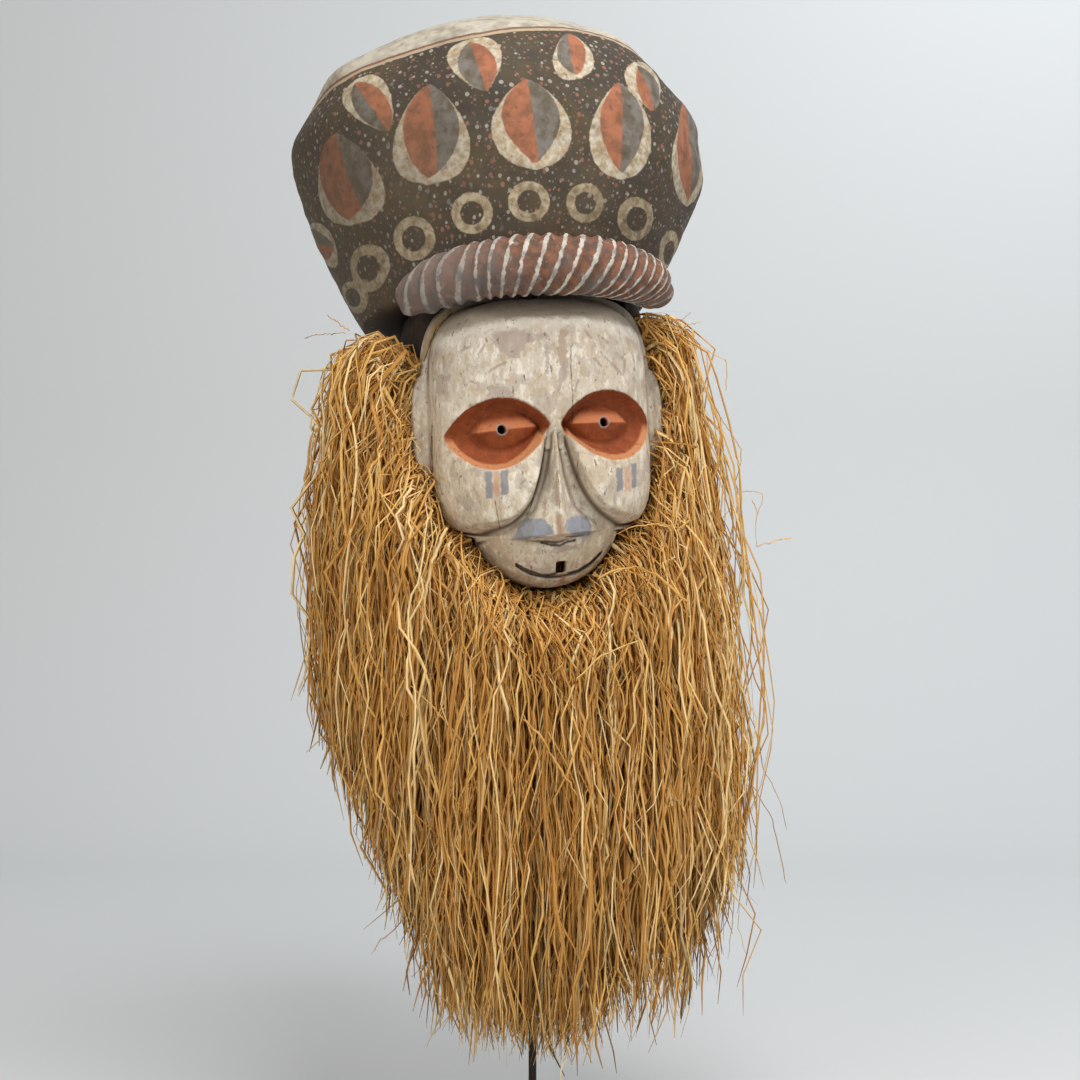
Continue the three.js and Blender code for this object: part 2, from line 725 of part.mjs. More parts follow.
const envelopes = {
  face: faceEnvelope(SOFT_GAP),
  hood: hoodPlug(GAP),
  crown: crownPlug(-GAP),
};

const white = finish(0xcfc6b2, 0.85);
const cloth = finish(0x4a4238, 0.9);
const stripes = finish(0x86675a, 0.9);
const dark = finish(0x262220, 0.95);
const straw = finish(0xb98d49, 0.8);
const steel = finish(0x2b2622, 0.45, 0.8);

const model = new THREE.Group();
model.add(part("carved_face", carvedFace(), white));
model.add(part("headdress", headdress(), cloth));
const roll = browRoll().subtract(envelopes.face).subtract(envelopes.crown).subtract(envelopes.hood);
const fringe = raffiaFringe([envelopes.face, envelopes.hood, envelopes.crown, browRoll(GAP)]);
model.add(part("brow_roll", roll, stripes));
model.add(part("hood_cloth", hoodCloth(), dark));
model.add(part("raffia_fringe", fringe, straw));
model.add(part("display_rod", displayRod(), steel));
model.add(part("foot_plate", footPlate(), steel));

export default model;
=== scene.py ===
# %% [markdown]
# # A carved face mask with a painted headdress and a raffia fringe
# The mask is a chalk-white wooden face under a tall cloth headdress, with a skirt of dry palm fibre.
# It stands on a thin steel rod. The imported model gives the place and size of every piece, and this
# file gives each one its visible surface. Lengths are in millimetres until a mesh is made.

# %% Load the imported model
import math

import bpy
import numpy as np
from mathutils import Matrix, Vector
from mathutils.bvhtree import BVHTree


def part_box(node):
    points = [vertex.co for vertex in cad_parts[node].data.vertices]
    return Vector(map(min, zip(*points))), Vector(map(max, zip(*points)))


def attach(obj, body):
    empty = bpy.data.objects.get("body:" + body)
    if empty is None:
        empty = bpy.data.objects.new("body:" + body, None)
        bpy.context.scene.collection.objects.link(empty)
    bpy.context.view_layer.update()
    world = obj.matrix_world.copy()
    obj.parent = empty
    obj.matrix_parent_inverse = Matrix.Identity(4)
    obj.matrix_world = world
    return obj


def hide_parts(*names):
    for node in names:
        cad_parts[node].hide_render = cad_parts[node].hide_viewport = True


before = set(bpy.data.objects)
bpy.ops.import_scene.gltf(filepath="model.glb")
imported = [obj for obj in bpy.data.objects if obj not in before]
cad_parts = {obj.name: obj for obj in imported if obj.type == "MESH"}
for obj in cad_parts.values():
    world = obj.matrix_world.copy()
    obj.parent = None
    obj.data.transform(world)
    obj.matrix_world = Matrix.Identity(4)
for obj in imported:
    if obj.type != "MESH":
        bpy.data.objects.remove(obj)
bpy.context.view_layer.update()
print("nodes:", sorted(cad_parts))

# %% [markdown]
# ## Helpers
# A mesh is made straight from arrays of points and faces, which is quick for the hundreds of
# thousands of faces that strands and carving need. Numbers that say where paint lies are kept on
# the points as attributes, so that a material can draw a crisp edge from a smooth distance.

# %% Meshes from arrays
MM = 0.001


def make_mesh(name, points, *face_groups):
    """An object from points in millimetres and arrays of faces, each array with one face size."""
    corners = np.concatenate([group.ravel() for group in face_groups]).astype(np.int32)
    sizes = np.concatenate([np.full(len(group), group.shape[1]) for group in face_groups])
    starts = np.concatenate([[0], np.cumsum(sizes)[:-1]]).astype(np.int32)
    mesh = bpy.data.meshes.new(name)
    mesh.vertices.add(len(points))
    mesh.vertices.foreach_set("co", (np.asarray(points) * MM).astype(np.float32).ravel())
    mesh.loops.add(len(corners))
    mesh.loops.foreach_set("vertex_index", corners)
    mesh.polygons.add(len(sizes))
    mesh.polygons.foreach_set("loop_start", starts)
    mesh.update(calc_edges=True)
    mesh.shade_smooth()
    piece = bpy.data.objects.new(name, mesh)
    bpy.context.scene.collection.objects.link(piece)
    return piece


def set_values(piece, **values):
    """Stores one number for each point under each name."""
    for name, numbers in values.items():
        attribute = piece.data.attributes.new(name, "FLOAT", "POINT")
        attribute.data.foreach_set("value", np.asarray(numbers, np.float32))


def band_faces(rows, columns, closed=True):
    """Quads of a grid of points, row by row. A closed grid joins its last column to its first."""
    i = np.arange(rows - 1)[:, None]
    j = np.arange(columns if closed else columns - 1)[None, :]
    k = (j + 1) % columns
    quads = np.stack(np.broadcast_arrays(i * columns + j, i * columns + k,
                                         (i + 1) * columns + k, (i + 1) * columns + j), -1)
    return quads.reshape(-1, 4)


# %% Smooth noise, the same on every run
CELL_PRIMES = np.array([73856093, 19349663, 83492791])


def cell_number(cells, seed):
    """A number from 0 to 1 for each whole-numbered cell, which looks random and never changes."""
    mixed = (cells.astype(np.int64) @ CELL_PRIMES + seed * 265443576) & 0xFFFFFFFF
    mixed = ((mixed ^ (mixed >> 15)) * 73244475) & 0xFFFFFFFF
    mixed = ((mixed ^ (mixed >> 13)) * 19990303) & 0xFFFFFFFF
    return (mixed ^ (mixed >> 16)) / 0xFFFFFFFF


def noise(points, size, seed):
    """Smooth noise from -1 to 1, with bumps of about the given size, which may differ by axis."""
    places = np.asarray(points) / size
    cells = np.floor(places)
    share = places - cells
    share = share * share * (3 - 2 * share)
    total = 0
    for corner in np.ndindex(2, 2, 2):
        weight = np.prod(np.where(corner, share, 1 - share), axis=-1)
        total = total + weight * cell_number(cells + corner, seed)
    return 2 * total - 1


# %% Small formulas shared by the pieces
def clamp(t):
    """Keeps a number between 0 and 1."""
    return np.clip(t, 0, 1)


def smooth(t):
    """Climbs from 0 to 1, slowly at both ends."""
    return clamp(t) ** 2 * (3 - 2 * clamp(t))


def mix(a, b, t):
    """From a at t 0 to b at t 1, in a straight line."""
    return a + (b - a) * t


def super_round(t, power):
    """Falls from 1 at t 0 to 0 at t 1, like a circle's edge or squarer."""
    return np.maximum(0, 1 - np.abs(t) ** power) ** (1 / power)


def soft_min(a, b, radius):
    """The smaller of two heights, with the edge between them rounded off."""
    share = clamp(0.5 + 0.5 * (b - a) / radius)
    return mix(b, a, share) - radius * share * (1 - share)


def soft_max(a, b, radius):
    """The larger of two heights, with the hollow between them rounded out."""
    return -soft_min(-a, -b, radius)


def curve_through(pairs, t):
    """The value at t of a smooth curve through (place, value) pairs."""
    places, values = np.array(pairs, float).T
    last = len(places) - 1
    i = np.clip(np.searchsorted(places, t, side="right") - 1, 0, last - 1)
    k0, k3 = np.clip(i - 1, 0, last), np.clip(i + 2, 0, last)
    span = places[i + 1] - places[i]
    u = clamp((t - places[i]) / span)
    slope1 = (values[i + 1] - values[k0]) / (places[i + 1] - places[k0]) * span
    slope2 = (values[k3] - values[i]) / (places[k3] - places[i]) * span
    blend = (2 * u**3 - 3 * u**2 + 1) * values[i] + (3 * u**2 - 2 * u**3) * values[i + 1]
    return blend + (u**3 - 2 * u**2 + u) * slope1 + (u**3 - u**2) * slope2


# %% [markdown]
# ## The camera, the floor and the light
# The photograph was taken a little from the mask's right-hand side, level with its chin. The
# camera is made first, because the painted motifs are placed by looking through it. Floor and wall
# are one curved sheet, so that no line shows behind the mask, as in a photographer's studio.

# %% Camera
PHOTO_SIDE = 1080
FOCAL_PIXELS = 2000
VIEW_TURN = math.radians(-12)
VIEW_DISTANCE = 1900
AIM = np.array([-11.0, -87.7, 603.0])

view_right = np.array([math.cos(VIEW_TURN), math.sin(VIEW_TURN), 0])
view_back = np.array([math.sin(VIEW_TURN), -math.cos(VIEW_TURN), 0])
camera_place = AIM + VIEW_DISTANCE * view_back

camera = bpy.data.objects.new("camera", bpy.data.cameras.new("camera"))
camera.data.sensor_width = 36
camera.data.lens = 36 * FOCAL_PIXELS / PHOTO_SIDE
camera.location = camera_place * MM
camera.rotation_euler = (math.pi / 2, 0, VIEW_TURN)
bpy.context.scene.collection.objects.link(camera)
bpy.context.scene.camera = camera


def sight_line(x, y):
    """The direction in which the camera sees a pixel of the photograph."""
    across = (x - PHOTO_SIDE / 2) / FOCAL_PIXELS
    rise = (PHOTO_SIDE / 2 - y) / FOCAL_PIXELS
    line = view_right * across - view_back
    line[2] += rise
    return line / np.linalg.norm(line)


print("camera at", np.round(camera_place))

# %% Node and colour helpers
def linear(hex_colour):
    """An sRGB hex colour as the linear numbers that a shader works with."""
    parts = [int(hex_colour[i : i + 2], 16) / 255 for i in (1, 3, 5)]
    return (*(c / 12.92 if c <= 0.04045 else ((c + 0.055) / 1.055) ** 2.4 for c in parts), 1)


def add(tree, kind, inputs=None, **settings):
    """Adds a node, with its settings, and its inputs given as values or as sockets to link."""
    node = tree.nodes.new(kind)
    for name, value in settings.items():
        setattr(node, name, value)
    for name, value in (inputs or {}).items():
        if isinstance(value, bpy.types.NodeSocket):
            tree.links.new(value, node.inputs[name])
        else:
            node.inputs[name].default_value = value
    return node


def new_material(name, roughness, **sockets):
    """A material with one shader. The numbers that are the same all over sit on the shader."""
    material = bpy.data.materials.new(name)
    material.use_nodes = True
    tree = material.node_tree
    tree.nodes.clear()
    shader = add(tree, "ShaderNodeBsdfPrincipled", {"Roughness": roughness, **sockets})
    add(tree, "ShaderNodeOutputMaterial", {"Surface": shader.outputs[0]})
    return material, tree, shader


# %% Floor, wall and lights
SWEEP_RADIUS = 900
SWEEP_BACK = 2600
SWEEP_SIDE = 4200
SWEEP_FRONT = -5200
SWEEP_TOP = 5200

turns = np.linspace(0, math.pi / 2, 24)
sweep_line = [(SWEEP_FRONT, 0)]
for turn in turns:
    sweep_line.append((SWEEP_BACK - SWEEP_RADIUS * (1 - math.sin(turn)),
                       SWEEP_RADIUS * (1 - math.cos(turn))))
sweep_line.append((SWEEP_BACK, SWEEP_TOP))
sweep_points = [(x, y, z) for y, z in sweep_line for x in (-SWEEP_SIDE, SWEEP_SIDE)]
sweep = make_mesh("studio_sweep", sweep_points, band_faces(len(sweep_line), 2, closed=False))
sweep.rotation_euler = (0, 0, VIEW_TURN)
paper, tree, shader = new_material("studio_paper", 0.9, IOR=1.45)
shader.inputs["Base Color"].default_value = linear("#d9dad8")
sweep.data.materials.append(paper)


def area_light(name, place, target, size, watts, colour):
    """A soft square light that looks at a target, both in millimetres."""
    lamp = bpy.data.lights.new(name, "AREA")
    lamp.shape = "SQUARE"
    lamp.size = size * MM
    lamp.energy = watts
    lamp.color = linear(colour)[:3]
    holder = bpy.data.objects.new(name, lamp)
    holder.location = Vector(place) * MM
    holder.rotation_euler = (Vector(target) - Vector(place)).to_track_quat("-Z", "Y").to_euler()
    bpy.context.scene.collection.objects.link(holder)


MASK_MIDDLE = (0, -60, 640)
area_light("window_above", (200, -1200, 2600), MASK_MIDDLE, 1200, 42, "#fbfbff")
area_light("fill_left", (-2000, -1900, 1300), MASK_MIDDLE, 1600, 26, "#fff9f0")
area_light("fill_right", (2100, -1700, 1500), MASK_MIDDLE, 1500, 20, "#ffffff")
area_light("wall_wash", (1700, 700, 2900), (1500, 2500, 1700), 1400, 30, "#eef5ff")

world = bpy.data.worlds.new("studio")
world.use_nodes = True
world.node_tree.nodes["Background"].inputs["Color"].default_value = linear("#e8ebee")
world.node_tree.nodes["Background"].inputs["Strength"].default_value = 0.42
bpy.context.scene.world = world
bpy.context.scene.view_settings.view_transform = "Standard"

# %% [markdown]
# ## The carved face
# The face is one block of light wood. Its front is a relief, so every spot of it has one height
# above the rim's plane, and a grid of heights can carry the whole carving. The heights are worked
# out from the same sizes as the solid model. Soft minimums and maximums round the edges, as a
# knife leaves them. The hollow back is a second, coarser grid, and a band of triangles joins the
# two grids round the outline and through the three holes.

# %% Sizes of the face
FACE_X, RIM_Y, BRIDGE_Z = -6, -50, 712
FACE_LEAN = math.radians(2.6)
FACE_HALF_WIDTH, FACE_TOP, CHEEK_DROP = 107, 121, 107
FACE_DEPTH, CHEEK_DEPTH, SWELL = 74, 84, 60
DOME_ABOVE, DOME_BELOW, BROW_EDGE, BROW_HEIGHT, BROW_SLOPE = 125, 190, 99, 67, 1.5
FACE_WALL = 13
HOLLOW_DEPTH, HOLLOW_ABOVE, HOLLOW_BELOW = 46, 108, 146
CHIN_MIDDLE, CHIN_HALF_HEIGHT, CHIN_HALF_WIDTH, CHIN_DEPTH = -85, 70, 73, 64
RIM_REACH, RIM_THICKNESS, BRIDGE_HALF_WIDTH = 7, 10, 26
EAR_MIDDLE, EAR_HALF_HEIGHT, EAR_REACH, EAR_THICKNESS = 2, 52, 18, 14
FEATURE_X, FEATURE_LEAN = 2.5, math.radians(2.2)
EYE_INNER, EYE_OUTER, EYE_RISE, EYE_DROP = 5, 101, 30.5, 36.5
EYE_BELOW, EYE_DROOP, EYE_DEPTH, EYE_RIDGE = 1, 3.2, 18, 8
LENS_INNER, LENS_OUTER, LENS_RISE, LENS_DROP = 13, 78, 22, 20
PAD_MIDDLE, PAD_INNER, PAD_OUTER, PAD_BOTTOM = 60, 58.5, 75, 99
PAD_WALL_FOOT, PAD_WALL_SLOPE, PAD_UNDERCUT = 38, 2.7, 9
NOSE_LENGTH, NOSE_STAND, NOSE_HALF_WIDTH, NOSTRIL, NOSE_UNDER = 104, 22, 28, 37, 9
NOSE_SIDE_DROP, NOSE_DRIFT, NOSE_SINK = 2, -7, 26
MOUTH_X, MOUTH_BOTTOM, MOUTH_HALF_WIDTH, MOUTH_RISE, MOUTH_LEFT = -3.5, -144.2, 45.7, 20, -0.87
MOUTH_POWER, MOUTH_DEPTH, MOUTH_THIN, MOUTH_SWELL = 2.3, 5.5, 0.9, 1.1
BROW_SAG, CURL_TOP, CURL_REACH, NOSE_TOP, PAD_POWER = 16, -60, 98, 7, 2.198
EAR_DISH, DISH_INSIDE, DISH_HALF_WIDTH, RIM_ROUNDING = 2.2, 9, 5, 5
NOSE_RIDGE_HALF_WIDTH, NOSE_BRIDGE_DROP, NOSTRIL_START, NOSTRIL_CLIMB = 2, 14, 0.75, 0.2
# Each hole's place across and up, its half-width, and how square it is.
HOLES = [(-49.4, -2, 4.3, 2), (49.4, -2, 4.3, 2), (-0.5, -135, 5.6, 7)]


# %% Outline of the face
# Here and below, u is the place across the face and v the place up it.
def upper_half_width(v):
    """Half the width of the face without its chin."""
    share = np.where(v > 0, super_round(v / FACE_TOP, 4), super_round(v / CHEEK_DROP, 4.8))
    return FACE_HALF_WIDTH * share


def chin_half_width(v):
    """Half the width of the chin and jaw."""
    return CHIN_HALF_WIDTH * super_round((v - CHIN_MIDDLE) / CHIN_HALF_HEIGHT, 2)


def ear_lobe(v):
    """How far an ear stands out of the outline."""
    return EAR_REACH * super_round((v - EAR_MIDDLE) / EAR_HALF_HEIGHT, 3)


def outline(v):
    """Half the carving's width at a height, over the ears and the bare edge."""
    squeezed = v * FACE_TOP / (FACE_TOP + RIM_REACH)
    edge = upper_half_width(squeezed) + RIM_REACH * smooth((v - 10) / 15)
    edge = np.where(v > EAR_MIDDLE - EAR_HALF_HEIGHT, edge, 0)
    return np.maximum.reduce([edge, upper_half_width(v) + ear_lobe(v), chin_half_width(v)])


heights_up = np.array([FACE_TOP - 10, EAR_MIDDLE, CHIN_MIDDLE])
print("face half-widths at brow, ears and chin:", np.round(outline(heights_up), 1), "mm")

# %% Plain surfaces of the face
def section(u, half_width):
    """A rounded section, as a share of its middle's height."""
    across = np.minimum(1, np.abs(u) / np.maximum(half_width, 1))
    return np.maximum(0, 1 - across**2.8) ** (1 / 2.3)


def upper_front(u, v):
    """The domed front over brow and cheeks, cut off by the slope above the brow's edge."""
    dome = FACE_DEPTH * super_round(v / np.where(v > 0, DOME_ABOVE, DOME_BELOW), np.where(v > 0, 4, 3))
    cheeks = (CHEEK_DEPTH - FACE_DEPTH) * smooth(-v / SWELL)
    front = (dome + cheeks) * section(u, upper_half_width(v) + 0.5)
    brow_edge = BROW_EDGE - BROW_SAG * (u / FACE_HALF_WIDTH) ** 2
    return soft_min(front, BROW_HEIGHT - BROW_SLOPE * (v - brow_edge), 3)


def lower_front(u, v):
    """The jaw and chin behind the cheek pads, and the saddle between the eyes."""
    top = CHIN_MIDDLE + CHIN_HALF_HEIGHT - 3
    curl = np.where(v > CURL_TOP, 1, super_round((v - CURL_TOP) / CURL_REACH, 2.6))
    chin = np.where(v < top, CHIN_DEPTH * curl * section(u, chin_half_width(v) + 2), 0)
    saddle = mix(CHIN_DEPTH + 2, FACE_DEPTH - 0.5, smooth((v + 14) / 14)) * section(u, BRIDGE_HALF_WIDTH)
    bridge = np.where((v > top - 6) & (v < NOSE_TOP), saddle, 0)
    return np.maximum(chin, bridge)


def rim_height(u, v):
    """The set-back edge and the ears, rounded at their border."""
    lobe = smooth(ear_lobe(v) / EAR_REACH)
    inside = np.maximum(outline(v) - np.abs(u), 0)
    dish = EAR_DISH * lobe * np.exp(-(((inside - DISH_INSIDE) / DISH_HALF_WIDTH) ** 2))
    border = super_round(1 - clamp(inside / RIM_ROUNDING), 2.2)
    return mix(RIM_THICKNESS, EAR_THICKNESS, lobe) * border - dish


# %% The cheek pads
def feature_place(x, z):
    """Coordinates of the features, which sit and lean a little off the outline."""
    u = x * math.cos(FEATURE_LEAN) + z * math.sin(FEATURE_LEAN) - FEATURE_X
    return u, z * math.cos(FEATURE_LEAN) - x * math.sin(FEATURE_LEAN)


def feature_origin(u, v):
    """The place in the face's own frame that has the given coordinates of the features."""
    u = u + FEATURE_X
    return (u * math.cos(FEATURE_LEAN) - v * math.sin(FEATURE_LEAN),
            u * math.sin(FEATURE_LEAN) + v * math.cos(FEATURE_LEAN))


def pad_inside(u, v):
    """How far a place is inside the edge of the cheek pad on its side of the face."""
    du = np.abs(u) - PAD_MIDDLE
    reach = np.where(du < 0, PAD_INNER, PAD_OUTER)
    across = np.abs(du / reach) ** PAD_POWER
    down = np.minimum(v, 0) / PAD_BOTTOM
    steep = PAD_POWER * np.abs(du / reach) ** (PAD_POWER - 1) / reach
    slope = np.hypot(steep, 2 * down / PAD_BOTTOM)
    inside = (1 - across - down**2) / np.maximum(slope, 0.4 / PAD_BOTTOM)
    return np.where(v > 0, np.maximum(inside, v * 3), inside)


# %% The eye sockets
def almond_share(u, v, inner, outer, rise, drop):
    """1 on the edge of an almond and 0 in its middle: the size of the like almond through a place."""
    middle, half = (inner + outer) / 2, (outer - inner) / 2
    du = (np.abs(u) - middle) / half
    low, high = np.full(u.shape, 0.02), np.full(u.shape, 4.0)
    for _ in range(16):
        share = (low + high) / 2
        s = clamp(0.5 + du / (2 * share))
        dv = v + EYE_BELOW + EYE_DROOP * s
        skew = s**1.15
        upper = rise * np.maximum(4 * s * (1 - s), 0) ** 0.8
        lower = drop * np.maximum(4 * skew * (1 - skew), 0) ** 0.69
        inside = (np.abs(dv) < np.where(dv >= 0, upper, lower) * share) & (np.abs(du) < share)
        low, high = np.where(inside, low, share), np.where(inside, share, high)
    return (low + high) / 2


def eye_depth(u, v, share, lens):
    """The cut of an eye socket: a wall that falls steeply and flattens, then a lens with a ridge."""
    from_rim = (1 - share) * (EYE_OUTER - EYE_INNER) / 2
    from_lens = np.maximum(lens - 1, 0) * (LENS_OUTER - LENS_INNER) / 2
    way = clamp(from_rim / np.maximum(from_rim + from_lens, 1e-6))
    wall = EYE_DEPTH * mix(way, 1 - (1 - way) ** 2, 0.75)
    s = clamp((np.abs(u) - LENS_INNER) / (LENS_OUTER - LENS_INNER))
    fold = np.abs(v + EYE_BELOW + EYE_DROOP * s)
    limit = (LENS_RISE + LENS_DROP) / 2 * np.maximum(4 * s * (1 - s), 0.02) ** 0.75
    ball = mix(EYE_RIDGE, EYE_DEPTH + 1, clamp(fold / limit) ** 1.15)
    ball = mix(EYE_DEPTH, ball, smooth((1 - lens) * 5))
    return np.where(share < 1, np.where(lens < 1, ball, wall), 0)


# %% The nose, the mouth and the whole relief
def nose_height(u, v):
    """A long wedge that stands out more towards its tip, and the cut under it."""
    t = clamp(-v / NOSE_LENGTH)
    wing = (NOSTRIL - NOSE_HALF_WIDTH) * smooth((t - NOSTRIL_START) / NOSTRIL_CLIMB)
    half = NOSE_RIDGE_HALF_WIDTH + (NOSE_HALF_WIDTH - NOSE_RIDGE_HALF_WIDTH) * t + wing
    across = np.sqrt((np.abs(u - NOSE_DRIFT * t) / half) ** 2 + 0.0009) - 0.03
    side = CHIN_DEPTH - mix(NOSE_BRIDGE_DROP, NOSE_SIDE_DROP, smooth(t * 1.25 - 0.25))
    height = mix(FACE_DEPTH - 1 + NOSE_STAND * t, side, across)
    below = clamp((-v - NOSE_LENGTH) / NOSE_UNDER)
    height = height - (NOSE_STAND + NOSE_SINK) * below
    return np.where((v < NOSE_TOP) & (below < 1), height, -50)


def mouth_cut(u, v):
    """The depth of the carved mouth line, a shallow bow that is widest in its middle."""
    t = (u - MOUTH_X) / MOUTH_HALF_WIDTH
    line = MOUTH_BOTTOM + MOUTH_RISE * np.abs(t) ** MOUTH_POWER
    half = MOUTH_THIN + MOUTH_SWELL * super_round(np.minimum(np.abs(t), 1), 3)
    groove = MOUTH_DEPTH * np.maximum(0, 1 - ((v - line) / half) ** 2)
    return np.where((t > MOUTH_LEFT) & (t < 1), groove, 0)


def carved_height(x, z, share, lens):
    """The front's height above the rim's plane, at a place in the face's own upright frame."""
    u, v = feature_place(x, z)
    inside = pad_inside(u, v)
    undercut = mix(2, PAD_UNDERCUT, smooth((np.abs(u) - 20) / 20))
    wall = PAD_WALL_FOOT + np.where(inside > 0, PAD_WALL_SLOPE, undercut) * inside
    height = np.maximum(soft_min(upper_front(x, z), wall, 2), 0)
    height = soft_max(height, lower_front(x, z), 0.8)
    height = soft_max(height, nose_height(u, v), 0.6)
    return np.maximum(height - eye_depth(u, v, share, lens) - mouth_cut(u, v), rim_height(x, z))


def hollow_height(x, z):
    """The hollow back's height, at a place in the face's own upright frame."""
    inner = np.maximum.reduce([upper_half_width(z), chin_half_width(z), 20 + 0 * z]) - FACE_WALL
    shape = super_round(z / np.where(z > 0, HOLLOW_ABOVE, HOLLOW_BELOW), 3)
    return HOLLOW_DEPTH * shape * section(x, inner + 1)


# %% Grids that follow the outline
FACE_ROWS, FACE_COLUMNS, BACK_STEP, RIM_COLUMNS = 271, 255, 2, 14
FACE_BOTTOM = CHIN_MIDDLE - CHIN_HALF_HEIGHT


def face_grid(rows, columns):
    """Places across and up. Each row is divided evenly along its section, so steep sides get
    as many points as the front. The last few places at each end lie on the rim and the ears."""
    t = np.linspace(0, 1, rows)
    v = mix(FACE_BOTTOM + 0.3, FACE_TOP + RIM_REACH - 0.3, mix(t, (1 - np.cos(math.pi * t)) / 2, 0.25))
    across = []
    body = np.maximum(upper_half_width(v), chin_half_width(v))
    for level, half, whole_half in zip(v, np.maximum(body, 8), outline(v)):
        half = min(half, whole_half) * 0.995
        fine = np.linspace(-half, half, 900)
        plain = np.maximum.reduce([form(fine, level) for form in (upper_front, lower_front, rim_height)])
        steps = np.hypot(np.diff(fine), 0.5 * np.diff(plain))
        length = np.concatenate([[0], np.cumsum(steps)])
        inner = np.interp(np.linspace(0, length[-1], columns - 2 * RIM_COLUMNS), length, fine)
        rim = np.linspace(half, whole_half, RIM_COLUMNS + 1)[1:]
        across.append(np.concatenate([-rim[::-1], inner, rim]))
    return np.array(across), np.repeat(v[:, None], columns, 1)


def to_world(x, height, z):
    """From the face's own upright frame to the mask's."""
    turned_x = x * math.cos(FACE_LEAN) - z * math.sin(FACE_LEAN)
    turned_z = x * math.sin(FACE_LEAN) + z * math.cos(FACE_LEAN)
    return np.stack([FACE_X + turned_x, RIM_Y - height, BRIDGE_Z + turned_z], -1)


# %% Holes, and walls between two grids
def pierce(x, z, quads):
    """Opens the holes in a flat grid, and gives each hole's border points in order round it."""
    borders = []
    for middle_u, middle_v, radius, squareness in HOLES:
        u, v = feature_place(x, z)
        du, dv = u - middle_u, v - middle_v
        size = (np.abs(du) ** squareness + np.abs(dv) ** squareness) ** (1 / squareness)
        inside = size[quads].mean(axis=1) < radius
        border = np.intersect1d(quads[inside], quads[~inside])
        turn = np.arctan2(dv[border], du[border]) / (2 * math.pi) % 1
        border, turn = border[np.argsort(turn)], np.sort(turn)
        scale = radius / size[border]
        x[border], z[border] = feature_origin(middle_u + du[border] * scale,
                                              middle_v + dv[border] * scale)
        borders.append((border, turn))
        quads = quads[~inside]
    return quads, borders


def ring_of(rows, columns):
    """The border points of a grid once round, each with its share of the way."""
    grid = np.arange(rows * columns).reshape(rows, columns)
    ring = np.concatenate([grid[0, :-1], grid[:-1, -1], grid[-1, :0:-1], grid[:0:-1, 0]])
    return ring, np.arange(len(ring)) / len(ring)


def bridge(first, second):
    """Triangles between two closed loops of points, each given in order with its share round."""
    (points_a, share_a), (points_b, share_b) = first, second
    count_a, count_b = len(points_a), len(points_b)
    next_a, next_b = np.append(share_a[1:], 2), np.append(share_b[1:], 2)
    faces = []
    a = b = 0
    while a < count_a or b < count_b:
        here = (points_a[a % count_a], points_b[b % count_b])
        if b == count_b or (a < count_a and next_a[a] <= next_b[b]):
            a += 1
            faces.append((*here, points_a[a % count_a]))
        else:
            b += 1
            faces.append((*here, points_b[b % count_b]))
    return np.array(faces)


def out_of(points, closed=False):
    """The outward directions of a grid of points, rows by columns."""
    if closed:
        across = np.roll(points, -1, axis=1) - np.roll(points, 1, axis=1)
    else:
        across = np.gradient(points, axis=1)
    out = np.cross(across, np.gradient(points, axis=0))
    return out / np.maximum(np.linalg.norm(out, axis=-1, keepdims=True), 1e-9)


# %% The face's mesh
def knife_work(points):
    """The unevenness of hand carving: broad flats, and fine marks along the grain."""
    broad = 0.8 * noise(points, 36, 11) + 0.45 * noise(points, 15, 12)
    return broad + 0.32 * noise(points, (5, 5, 16), 13) + 0.2 * noise(points, (2.4, 2.4, 6), 14)


x, z = face_grid(FACE_ROWS, FACE_COLUMNS)
back_x, back_z = x[::BACK_STEP, ::BACK_STEP].ravel(), z[::BACK_STEP, ::BACK_STEP].ravel()
back_rows, back_columns = (FACE_ROWS + 1) // BACK_STEP, (FACE_COLUMNS + 1) // BACK_STEP
x, z = x.ravel(), z.ravel()
front_quads, front_holes = pierce(x, z, band_faces(FACE_ROWS, FACE_COLUMNS, closed=False))
back_quads, back_holes = pierce(back_x, back_z, band_faces(back_rows, back_columns, closed=False))

share = almond_share(*feature_place(x, z), EYE_INNER, EYE_OUTER, EYE_RISE, EYE_DROP)
lens = almond_share(*feature_place(x, z), LENS_INNER, LENS_OUTER, LENS_RISE, LENS_DROP)
heights = np.maximum(carved_height(x, z, share, lens), 1.2)
front = to_world(x, heights, z)
inward = clamp((outline(z) - np.abs(x)) / 4) * clamp((z - FACE_BOTTOM) / 4)
out = out_of(front.reshape(FACE_ROWS, FACE_COLUMNS, 3)).reshape(-1, 3)
front = front + out * (knife_work(front) * inward)[:, None]
back = to_world(back_x, np.maximum(hollow_height(back_x, back_z), 0), back_z)
front_count = len(front)


def behind_front(loop):
    """A loop of the back's points, numbered after the front's."""
    points, shares = loop
    return points + front_count, shares


walls = [bridge(ring_of(FACE_ROWS, FACE_COLUMNS), behind_front(ring_of(back_rows, back_columns)))]
walls += [bridge(a, behind_front(b))[:, ::-1] for a, b in zip(front_holes, back_holes)]
face = make_mesh("face_carving", np.concatenate([front, back]), front_quads,
                 back_quads[:, ::-1] + front_count, np.concatenate(walls))
print("face carving:", len(face.data.polygons), "faces")

# %% [markdown]
# ## Where the face is painted
# The paint was brushed on by hand, so its edges don't follow the sizes. Their places are read off
# the photograph in its pixels, and every point of the carving is seen through the same camera.

# %% Paint edges seen through the camera
def seen_at(points):
    """The photograph's pixel in which the camera sees each point."""
    from_camera = points - camera_place
    depth = -(from_camera @ view_back)
    return np.stack([PHOTO_SIDE / 2 + FOCAL_PIXELS * (from_camera @ view_right) / depth,
                     PHOTO_SIDE / 2 - FOCAL_PIXELS * from_camera[:, 2] / depth], -1)


